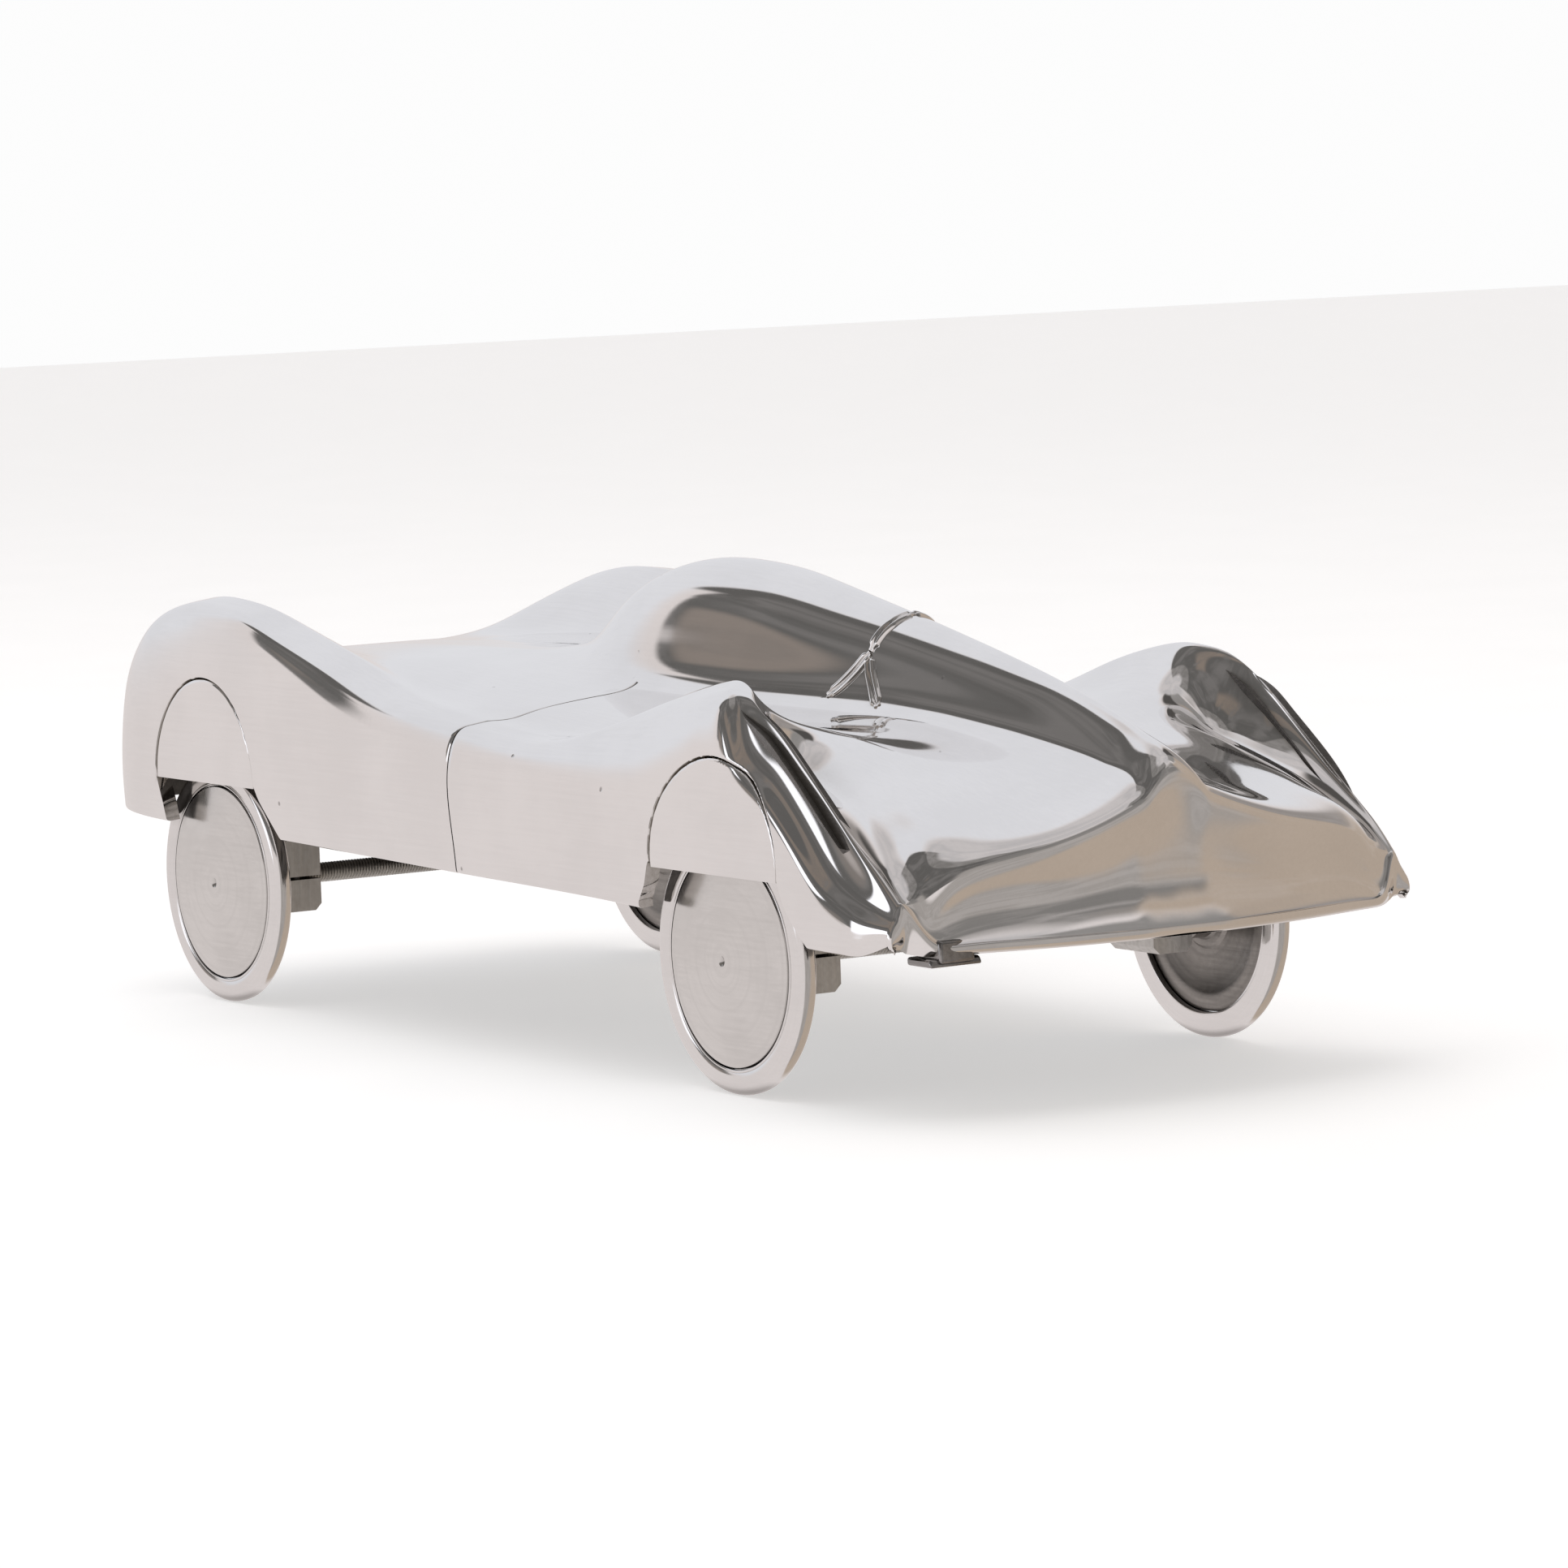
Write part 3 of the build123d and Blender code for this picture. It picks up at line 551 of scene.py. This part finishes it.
def metal(name, light, dark, rough, wave=0.0, line_bump=0.0, line_scale=(30, 900, 900),
          pits=0.0, rings=0.0, crevice_shade=0.0, hollow_shade=0.0):
    """Bare metal. light and dark are its tones, rough its lowest and highest roughness.

    wave is the height in mm of slow unevenness, line_bump that of polishing lines,
    pits that of casting pits, and rings that of turning marks round the object's Y axis.
    The last two paint shade as a darker colour: the first in narrow gaps, the second in wider
    hollows.
    """
    material = bpy.data.materials.new(name)
    material.use_nodes = True
    n = Nodes(material.node_tree)
    position = n.add("ShaderNodeTexCoord").outputs["Object"]
    lines = n.noise(n.stretched(position, line_scale), 1.0, 4.0, 0.6)
    cross_lines = n.noise(n.stretched(position, line_scale, (0.0, 0.5, 0.9)), 1.0, 3.0, 0.6)
    clouds = n.noise(position, 28.0, 4.0, 0.55)
    speckle = n.noise(position, 900.0, 2.0, 0.5)
    tone = n.smooth(n.math("ADD", n.math("MULTIPLY", clouds, 0.7),
                           n.math("MULTIPLY", lines, 0.3)), 0.35, 0.65)
    colour = n.mix(tone, dark, light)
    height = n.math("MULTIPLY", lines, line_bump)
    height = n.math("ADD", height, n.math("MULTIPLY", cross_lines, line_bump * 0.6))
    if wave:
        slow = n.noise(position, 16.0, 1.0, 0.3)
        ripple = n.noise(n.stretched(position, (45, 70, 70)), 1.0, 1.0, 0.4)
        height = n.math("ADD", height, n.math("MULTIPLY", slow, wave))
        height = n.math("ADD", height, n.math("MULTIPLY", ripple, wave * 0.12))
    if pits:
        cells = n.add("ShaderNodeTexVoronoi", {"Vector": position, "Scale": 95.0,
                                               "Randomness": 1.0})
        chosen = n.smooth(n.noise(position, 60.0, 1.0), 0.60, 0.64)
        pit = n.math("MULTIPLY", n.smooth(cells.outputs["Distance"], 0.085, 0.03), chosen)
        height = n.math("SUBTRACT", height, n.math("MULTIPLY", pit, pits))
        colour = n.mix(n.math("MULTIPLY", pit, 0.55), colour, (0.12, 0.11, 0.10))
    if rings:
        parts = n.add("ShaderNodeSeparateXYZ", {"Vector": position})
        radius = n.add("ShaderNodeCombineXYZ", {"X": parts.outputs["X"], "Y": parts.outputs["Z"]})
        length = n.add("ShaderNodeVectorMath", {0: radius.outputs[0]}, operation="LENGTH")
        along = n.add("ShaderNodeCombineXYZ", {"X": length.outputs["Value"]})
        turned = n.noise(along.outputs[0], 2600.0, 3.0, 0.7)
        broad = n.noise(along.outputs[0], 420.0, 2.0, 0.6)
        height = n.math("ADD", height, n.math("MULTIPLY", n.math("ADD", turned, broad), rings))
        colour = n.mix(n.math("MULTIPLY", n.smooth(broad, 0.45, 0.62), 0.35), colour, dark)
    # painted shade: ambient occlusion darkens the colour in narrow gaps
    if crevice_shade:
        crevice = n.add("ShaderNodeAmbientOcclusion", {"Distance": 0.006},
                        samples=8).outputs["AO"]
        colour = n.mix(n.smooth(crevice, 0.85, 0.25, 0.0, crevice_shade), colour, (0.10, 0.09, 0.08))
    # painted shade: ambient occlusion darkens the colour in the wider hollows, streaked along the
    # polishing lines
    if hollow_shade:
        shade = n.add("ShaderNodeAmbientOcclusion", {"Distance": 0.035}, samples=12).outputs["AO"]
        streak = n.math("MULTIPLY", n.smooth(lines, 0.3, 0.7, 0.75, 1.0), hollow_shade)
        painted_hollow_shade = n.math("MULTIPLY", n.smooth(shade, 0.82, 0.48), streak)
        colour = n.mix(painted_hollow_shade, colour, (0.36, 0.335, 0.30))
    roughness = n.math("ADD", n.smooth(n.math("ADD", n.math("MULTIPLY", clouds, 0.6),
                                              n.math("MULTIPLY", speckle, 0.4)),
                                       0.35, 0.65, rough[0], rough[1]),
                       n.smooth(lines, 0.62, 0.75, 0.0, 0.03))
    bump = n.add("ShaderNodeBump", {"Height": height, "Distance": MM, "Strength": 1.0})
    shader = n.add("ShaderNodeBsdfPrincipled", {"Base Color": colour, "Metallic": 1.0,
                                                "Roughness": roughness,
                                                "Normal": bump.outputs[0]})
    n.add("ShaderNodeOutputMaterial", {"Surface": shader.outputs[0]})
    return material


MATERIALS = {
    "polished_casting": metal("polished_casting", (0.93, 0.92, 0.92), (0.88, 0.87, 0.87),
                              (0.035, 0.07), wave=0.05, line_bump=0.0004, pits=0.06,
                              crevice_shade=0.5, hollow_shade=0.85),
    "polished_ring": metal("polished_ring", (0.90, 0.89, 0.89), (0.84, 0.83, 0.83),
                           (0.08, 0.14), wave=0.01, line_bump=0.0003, rings=0.0002, crevice_shade=0.6),
    "turned_disc": metal("turned_disc", (0.82, 0.81, 0.80), (0.72, 0.71, 0.70),
                         (0.16, 0.24), wave=0.02, line_bump=0.0003, rings=0.0003, crevice_shade=0.6),
    "sawn_block": metal("sawn_block", (0.74, 0.73, 0.71), (0.52, 0.51, 0.49), (0.28, 0.5),
                        line_bump=0.05, line_scale=(700, 700, 60), crevice_shade=0.8),
    "threaded_steel": metal("threaded_steel", (0.62, 0.61, 0.58), (0.34, 0.33, 0.31),
                            (0.25, 0.45), line_bump=0.004, crevice_shade=0.8),
    "zinc_steel": metal("zinc_steel", (0.68, 0.68, 0.67), (0.5, 0.5, 0.5), (0.2, 0.35),
                        line_bump=0.003, crevice_shade=0.7),
    "black_screw": metal("black_screw", (0.2, 0.2, 0.21), (0.1, 0.1, 0.1), (0.3, 0.5),
                         line_bump=0.003, crevice_shade=0.4),
}

# back of the wheel discs: darker than the turned front as painted shade on the inward face under the
# body; the turning marks are real
SHADED_DISC_BACK = metal("disc_back", (0.40, 0.38, 0.36), (0.22, 0.21, 0.20), (0.28, 0.45),
                  line_bump=0.001, rings=0.004, crevice_shade=0.5)
# lug under the lip: polished metal whose dark colour is painted shade and a painted dark reflection
LUG_PAINTED_SHADE = metal("lug_painted_shade", (0.42, 0.41, 0.41), (0.22, 0.215, 0.21), (0.08, 0.2),
                  wave=0.15, line_bump=0.002, pits=0.2, crevice_shade=0.6)
# inside of the castings: rough as cast, and darker than bare aluminium as painted shade
AS_CAST_AND_SHADE = metal("as_cast_and_painted_shade", (0.34, 0.33, 0.32), (0.20, 0.195, 0.19), (0.5, 0.75),
                pits=0.25, crevice_shade=0.7)

# ---------------------------------------------------------------- castings
ARCH_LOOPS = (0.35, 0.8, 1.4)          # edge loops beside a joint, which shape its rounded edge
SEAM_LOOPS = (-0.9, -0.4, 0.4, 0.9)
ARCH_EDGE_RADIUS = 0.9
SEAM_EDGE_RADIUS = 0.85
SKIRT_RECESS = 0.35

skin_points, body_faces = body_skin()
skin = Skin(skin_points)
skirt_faces = {}
for end in ARCH_CENTRE:
    for side_name, side in SIDES.items():
        inside, rest = skin.split(body_faces, arch_field(end, side))
        floor_z = ARCH_CENTRE[end][1]
        below, skirt = skin.split(inside, lambda p, z=floor_z: p[:, 2] - z)
        skirt = skin.score(skirt, lambda p, f=arch_field(end, side): -f(p), ARCH_LOOPS)
        rest = skin.score(rest, arch_field(end, side), ARCH_LOOPS)
        skirt_faces[end, side_name] = skirt
        _, body_faces = skin.split(rest + below, mouth_field(end, side))

body_faces = skin.score(body_faces, seam_field, SEAM_LOOPS)
canopy_faces, tub_faces = skin.split(body_faces, canopy_field)
rear_faces, rest = skin.split(tub_faces, lambda p: seam_field(p) + SEAM_GAP / 2)
_, front_faces = skin.split(rest, lambda p: seam_field(p) - SEAM_GAP / 2)

body_points = sorted({i for face in rear_faces + front_faces for i in face})
skirt_points = sorted({i for faces in skirt_faces.values() for face in faces for i in face})
depth = np.zeros(len(skin.points))
p = skin.points
tub = np.zeros(len(p), bool)
tub[body_points] = True
in_skirt = np.zeros(len(p), bool)
in_skirt[skirt_points] = True
depth += np.where(tub, edge_drop(np.abs(seam_field(p)), SEAM_EDGE_RADIUS), 0)
for end in ARCH_CENTRE:
    for side in SIDES.values():
        gap = np.abs(arch_field(end, side)(p))
        above = p[:, 2] > ARCH_CENTRE[end][1] - 0.5
        depth += np.where(above, edge_drop(gap, ARCH_EDGE_RADIUS), 0)
depth += np.where(in_skirt, SKIRT_RECESS, 0)
skin.sink(depth)

body_surface = BVHTree.FromPolygons([Vector(q) for q in skin.points[:, :3]],
                                    canopy_faces + rear_faces + front_faces)


def casting(name, faces, node):
    """Polished shell with its inside left as cast, darkened further with painted shade."""
    points, all_faces, inside_start = shell_mesh(skin, faces)
    add_mesh(name, points, all_faces, "chassis", MATERIALS["polished_casting"],
             "polished_casting", [node], lining=AS_CAST_AND_SHADE, lining_start=inside_start)


for name, faces in (("canopy", canopy_faces), ("body_rear", rear_faces),
                    ("body_front", front_faces)):
    casting(f"{name}_casting", faces, name)
for (end, side_name), faces in skirt_faces.items():
    casting(f"skirt_{end}_{side_name}_plate", faces, f"skirt_{end}_{side_name}")


BEAD_STEPS = 40
BEAD_HALF_WIDTH, BEAD_HEIGHT = 2.0, 0.9
ABOVE_BODY_Z = 180.0
# across the bead, as shares of its half width and height
BEAD_PROFILE = [(-1.15, -0.5), (-1.0, 0.1), (-0.8, 0.75), (-0.55, 1.0), (-0.3, 0.8), (-0.1, 0.35),
                (0.1, 0.35), (0.3, 0.8), (0.55, 1.0), (0.8, 0.75), (1.0, 0.1), (1.15, -0.5)]


def bead(name, plan, side):
    """Raised double bead that lies on the body along a line given in plan."""
    plan = np.array(plan, float)
    fine = np.linspace(0, len(plan) - 1, BEAD_STEPS)
    xs = np.interp(fine, np.arange(len(plan)), plan[:, 0])
    ys = np.interp(fine, np.arange(len(plan)), plan[:, 1]) * side
    spots, normals = [], []
    for x, y in zip(xs, ys):
        spot, normal, _, _ = body_surface.ray_cast(Vector((x, y, ABOVE_BODY_Z)), Vector((0, 0, -1)))
        spots.append(np.array(spot))
        normals.append(np.array(normal))
    spots, normals = np.array(spots), np.array(normals)
    for _ in range(3):
        normals[1:-1] = (normals[2:] + normals[:-2] + 2 * normals[1:-1]) / 4
    along = np.gradient(spots, axis=0)
    across = np.cross(along, normals)
    across /= np.linalg.norm(across, axis=1, keepdims=True)
    normals /= np.linalg.norm(normals, axis=1, keepdims=True)
    taper = np.clip(np.minimum(fine, fine[-1] - fine) * 3.0, 0.55, 1.0)
    rows = [spots + across * (BEAD_HALF_WIDTH * w) * taper[:, None]
            + normals * (BEAD_HEIGHT * h) * taper[:, None] for w, h in BEAD_PROFILE]
    points = np.stack(rows, 1)
    rows_count, width = points.shape[:2]
    index = np.arange(rows_count * width).reshape(rows_count, width)
    faces = [(index[i, j], index[i + 1, j], index[i + 1, (j + 1) % width], index[i, (j + 1) % width])
             for i in range(rows_count - 1) for j in range(width)]
    faces += [tuple(index[0]), tuple(reversed(index[-1]))]
    faces = [tuple(int(i) for i in face) for face in faces]
    add_mesh(name, points.reshape(-1, 3), faces, "chassis", MATERIALS["polished_casting"],
             "polished_casting", sharp=60.0)


for side_name, side in SIDES.items():
    for part, plan in SEAM_BEADS.items():
        bead(f"seam_bead_{part}_{side_name}", plan, side)


def faceted_block(name, low, high, slant, chamfer):
    """Block between two corners whose front face leans back by slant at the top."""
    (x0, y0, z0), (x1, y1, z1) = low, high
    points = [(x0, y0, z0), (x1, y0, z0), (x1, y1, z0), (x0, y1, z0),
              (x0, y0, z1), (x1 - slant, y0 + slant / 2, z1),
              (x1 - slant, y1 - slant / 2, z1), (x0, y1, z1)]
    faces = [(3, 2, 1, 0), (4, 5, 6, 7), (0, 1, 5, 4), (1, 2, 6, 5), (2, 3, 7, 6), (3, 0, 4, 7)]
    piece = add_mesh(name, points, faces, "chassis", LUG_PAINTED_SHADE, "polished_casting")
    bevel = piece.modifiers.new("edges", "BEVEL")
    bevel.width = chamfer * MM
    bevel.segments = 3


# a lump of cast metal left under the lip, on the right only
faceted_block("lip_lug_right", (203.0, -71.5, 41.6), (214.0, -60.5, 47.4), 1.2, 0.9)
faceted_block("lip_lug_foot_right", (202.0, -74.0, 40.6), (213.2, -58.0, 42.8), 0.8, 0.7)

# ---------------------------------------------------------------- wheels
SEGMENTS = 160
TYRE_MIDDLE = (TYRE_INNER_FACE + TYRE_OUTER_FACE) / 2
RIM_FACE = TYRE_OUTER_FACE - 0.35
DOME_HEIGHT = 2.3
DOME_RADII = (28.5, 27, 25, 22, 18, 14, 10, 6, 3, 1.5)
# back of a disc with its hub, from the axis out to the rim: (y, radius)
DISC_REAR_PROFILE = [(75.0, 0.0), (69.0, 0.0), (69.0, 7.4), (69.5, 8.0), (74.6, 8.1), (75.4, 8.8),
                     (75.5, 10.5), (76.3, 11.5), (76.3, 22.5), (75.7, 23.4), (75.5, 25.0),
                     (75.5, 27.6), (75.9, 28.6)]


def tyre_profile():
    """Rounded tread, with a rolled edge where the ring meets the disc."""
    return (arc(TYRE_MIDDLE - 0.35, 33.4, 2.55, 178, 92, 9)
            + arc(TYRE_MIDDLE + 0.25, 33.4, 2.6, 88, 8, 10)
            + [(TYRE_OUTER_FACE - 0.12, 31.4), (TYRE_OUTER_FACE - 0.28, 30.2)]
            + arc(TYRE_OUTER_FACE - 0.7, 29.55, 0.4, 60, -60, 5)
            + [(TYRE_INNER_FACE + 1.0, DISC_RADIUS - 0.1), (TYRE_INNER_FACE + 0.2, 29.2),
               (TYRE_INNER_FACE, 30.0), (TYRE_INNER_FACE, 32.0)])


def disc_front_profile():
    """Domed outer face, from the rim in to the lathe's centre mark."""
    dome = [(RIM_FACE + DOME_HEIGHT * (1 - (r / DISC_RADIUS) ** 2), r) for r in DOME_RADII]
    return ([(RIM_FACE - 1.6, 28.9), (RIM_FACE - 0.5, 28.85)] + dome
            + [(RIM_FACE + 2.0, 1.1), (RIM_FACE + 1.2, 0.45), (RIM_FACE + 0.9, 0.0)])


def wheel(end, side_name, side):
    """Tyre ring and turned disc, each with its origin on the axle."""
    hub_centre = (AXLE_X[end], 0.0, WHEEL_RADIUS)
    centre = (AXLE_X[end], side * TYRE_MIDDLE, WHEEL_RADIUS)
    add_mesh(f"tyre_{end}_{side_name}_ring", *lathe(tyre_profile(), SEGMENTS, hub_centre, side),
             f"{end}_wheelset", MATERIALS["polished_ring"], "polished_ring",
             [f"tyre_{end}_{side_name}"], centre)
    front = disc_front_profile()
    add_mesh(f"wheel_disc_{end}_{side_name}_turned",
             *lathe(front + DISC_REAR_PROFILE, SEGMENTS, hub_centre, side),
             f"{end}_wheelset", MATERIALS["turned_disc"], "turned_disc",
             [f"wheel_disc_{end}_{side_name}"], centre, lining=SHADED_DISC_BACK,
             lining_start=(len(front) - 1) * SEGMENTS)


for end in AXLE_X:
    for side_name, side in SIDES.items():
        wheel(end, side_name, side)

# ---------------------------------------------------------------- threaded axles
THREAD_PITCH = 1.0
THREAD_STEPS = 8
THREAD_SEGMENTS = 24
THREAD_HALF_LENGTH = 68.5
THREAD_ROOT_RADIUS, THREAD_DEPTH = 2.42, 0.57
for end, axle_x in AXLE_X.items():
    count = int(2 * THREAD_HALF_LENGTH / THREAD_PITCH * THREAD_STEPS) + 1
    y = np.linspace(-THREAD_HALF_LENGTH, THREAD_HALF_LENGTH, count)
    angle = np.linspace(0, 2 * math.pi, THREAD_SEGMENTS, endpoint=False)
    phase = (y[:, None] / THREAD_PITCH - angle[None] / (2 * math.pi)) % 1.0
    radius = THREAD_ROOT_RADIUS + THREAD_DEPTH * np.clip(1.25 - 2.5 * np.abs(phase - 0.5), 0, 1)
    points = np.stack([axle_x + radius * np.cos(angle), np.broadcast_to(y[:, None], radius.shape),
                       WHEEL_RADIUS + radius * np.sin(angle)], 2)
    index = np.arange(radius.size).reshape(radius.shape)
    wrap = np.roll(index, -1, 1)
    quads = np.stack([index[:-1], wrap[:-1], wrap[1:], index[1:]], -1).reshape(-1, 4)
    faces = [tuple(q) for q in quads[:, ::-1].tolist()]
    faces += [tuple(index[0].tolist()), tuple(index[-1].tolist()[::-1])]
    add_mesh(f"axle_{end}_threaded", points.reshape(-1, 3), faces, f"{end}_wheelset",
             MATERIALS["threaded_steel"], "threaded_steel", [f"axle_{end}"], sharp=80.0)

# ---------------------------------------------------------------- CAD pieces that stay
BLOCK_BEVEL = 0.5
slots = {row["node"]: row["material_slot"] for row in frame["record"]["subparts"]}
for name, node in frame["nodes"].items():
    if node.hide_render:
        continue
    node.data.materials.clear()
    node.data.materials.append(MATERIALS[slots[name]])
    node.data.shade_smooth()
    node.data.set_sharp_from_angle(angle=math.radians(30))
    if slots[name] == "sawn_block":
        bevel = node.modifiers.new("edges", "BEVEL")
        bevel.width = BLOCK_BEVEL * MM
        bevel.segments = 2
        bevel.limit_method = "ANGLE"
        bevel.angle_limit = math.radians(40)

# ---------------------------------------------------------------- camera
CAMERA_PLACE = (1.6489, -1.0309, 0.2524)
CAMERA_AZIMUTH, CAMERA_ELEVATION, CAMERA_ROLL = (math.radians(a) for a in (57.50, 5.41, -2.01))
CAMERA_LENS, CAMERA_SENSOR = 157.3, 36.0
forward = Vector((-math.sin(CAMERA_AZIMUTH) * math.cos(CAMERA_ELEVATION),
                  math.cos(CAMERA_AZIMUTH) * math.cos(CAMERA_ELEVATION),
                  -math.sin(CAMERA_ELEVATION)))
level_right = forward.cross(Vector((0, 0, 1))).normalized()
level_up = level_right.cross(forward)
right = math.cos(CAMERA_ROLL) * level_right + math.sin(CAMERA_ROLL) * level_up
up = -math.sin(CAMERA_ROLL) * level_right + math.cos(CAMERA_ROLL) * level_up
camera = bpy.data.objects.new("camera", bpy.data.cameras.new("camera"))
camera.data.lens = CAMERA_LENS
camera.data.sensor_width = CAMERA_SENSOR
camera.data.clip_start, camera.data.clip_end = 0.05, 50.0
camera.matrix_world = Matrix((
    (right.x, up.x, -forward.x, CAMERA_PLACE[0]), (right.y, up.y, -forward.y, CAMERA_PLACE[1]),
    (right.z, up.z, -forward.z, CAMERA_PLACE[2]), (0, 0, 0, 1)))
scene.collection.objects.link(camera)
scene.camera = camera

# ---------------------------------------------------------------- studio
# Patches of the room round the object: azimuth range (0 is -Y, 90 is +X) and elevation
# range in degrees, softness in degrees, colour, and how much noise breaks it up.
ROOM_BASE = (0.735, 0.685, 0.67)
ROOM_PATCHES = [
    ((-140, -64), (2, 60), 10, (0.75, 0.755, 0.785), 0.0),
    ((-180, 180), (62, 95), 10, (0.52, 0.50, 0.50), 0.35),
    ((165, 215), (16, 62), 8, (0.30, 0.275, 0.26), 0.1),
    ((-64, 110), (60, 77), 6, (0.20, 0.19, 0.18), 0.2),
    ((-58, 104), (22, 64), 2, (0.12, 0.115, 0.11), 0.1),
    ((-64.5, -56), (28, 62), 3, (0.12, 0.115, 0.11), 0.0),
    ((-57.5, -34), (9, 24), 2, (0.13, 0.125, 0.12), 0.1),
    ((-54, -42), (7, 16), 3, (0.26, 0.225, 0.20), 0.5),
    ((-30, 20), (42, 52), 4, (0.24, 0.20, 0.17), 0.8),
    ((-36, -2), (6, 23), 2, (1.2, 1.2, 1.25), 0.0),
    ((64, 140), (-90, 40), 14, (0.36, 0.335, 0.315), 0.15),
    ((86, 140), (26, 60), 10, (0.22, 0.21, 0.20), 0.3),
    ((126, 215), (-90, 18), 16, (0.46, 0.38, 0.31), 0.1),
    ((136, 182), (-90, 50), 12, (0.46, 0.38, 0.31), 0.1),
    ((148, 190), (50, 68), 6, (0.27, 0.26, 0.25), 0.1),
    ((188, 214), (44, 66), 6, (0.085, 0.08, 0.075), 0.0),
]
world = bpy.data.worlds.new("studio")
scene.world = world
world.use_nodes = True
w = Nodes(world.node_tree)
direction = w.add("ShaderNodeTexCoord").outputs["Generated"]
xyz = w.add("ShaderNodeSeparateXYZ", {"Vector": direction})
to_degrees = 180.0 / math.pi
azimuth = w.math("MULTIPLY", w.math("ARCTAN2", xyz.outputs["X"],
                                    w.math("MULTIPLY", xyz.outputs["Y"], -1.0)), to_degrees)
elevation = w.math("MULTIPLY", w.math("ARCSINE", xyz.outputs["Z"]), to_degrees)
clutter = w.noise(direction, 5.0, 4.0, 0.55, 0.6)
room = ROOM_BASE
for (az_low, az_high), (el_low, el_high), soft, tint, mottle in ROOM_PATCHES:
    middle, half = (az_low + az_high) / 2, (az_high - az_low) / 2
    turn = w.add("ShaderNodeMath", {0: w.math("SUBTRACT", azimuth, middle), 1: 180.0, 2: -180.0},
                 operation="WRAP")
    away = w.math("ABSOLUTE", turn.outputs[0])
    inside_az = w.smooth(away, half + soft / 2, half - soft / 2)
    inside_low = w.smooth(elevation, el_low - soft / 2, el_low + soft / 2)
    inside_high = w.smooth(elevation, el_high + soft / 2, el_high - soft / 2)
    mask = w.math("MULTIPLY", w.math("MULTIPLY", inside_az, inside_low), inside_high)
    if mottle:
        mask = w.math("MULTIPLY", mask, w.smooth(clutter, 0.35, 0.62, 1.0 - mottle, 1.0))
    room = w.mix(mask, room, tint)
lights = w.add("ShaderNodeBackground", {"Color": room, "Strength": 1.0})
backdrop = w.add("ShaderNodeBackground", {"Color": (0.98, 0.98, 0.98, 1.0), "Strength": 1.0})
seen = w.add("ShaderNodeLightPath").outputs["Is Camera Ray"]
shown = w.add("ShaderNodeMixShader", {0: seen, 1: lights.outputs[0], 2: backdrop.outputs[0]})
w.add("ShaderNodeOutputWorld", {"Surface": shown.outputs[0]})


def softbox(name, place, target, size, power):
    """Rectangular lamp at a place in metres, turned to face the target."""
    light = bpy.data.lights.new(name, "AREA")
    light.shape = "RECTANGLE"
    light.size, light.size_y = size
    light.energy = power
    lamp = bpy.data.objects.new(name, light)
    lamp.location = place
    lamp.rotation_euler = (Vector(target) - Vector(place)).to_track_quat("-Z", "Y").to_euler()
    scene.collection.objects.link(lamp)
    return lamp


top_light = softbox("top_light", place=(-0.3, -0.6, 2.2), target=(0, 0, 0), size=(2.6, 2.2), power=16)
top_light.visible_glossy = False

FLOOR_HALF = 6.0
floor_mesh = bpy.data.meshes.new("floor")
floor_mesh.from_pydata([(x * FLOOR_HALF, y * FLOOR_HALF, 0) for x, y in
                        ((-1, -1), (1, -1), (1, 1), (-1, 1))], [], [(0, 1, 2, 3)])
floor = bpy.data.objects.new("floor", floor_mesh)
scene.collection.objects.link(floor)
floor_material = bpy.data.materials.new("pale_floor")
floor_material.use_nodes = True
f = Nodes(floor_material.node_tree)
grain = f.noise(f.add("ShaderNodeTexCoord").outputs["Object"], 14.0, 3.0)
paper = f.add("ShaderNodeBsdfPrincipled",
              {"Base Color": f.mix(f.smooth(grain, 0.3, 0.7), (0.90, 0.90, 0.90), (0.93, 0.93, 0.93)),
               "Roughness": 0.9, "Emission Color": (1.0, 1.0, 1.0, 1.0), "Emission Strength": 0.5})
f.add("ShaderNodeOutputMaterial", {"Surface": paper.outputs[0]})
floor_mesh.materials.append(floor_material)
floor.visible_glossy = False

scene.view_settings.view_transform = "Standard"
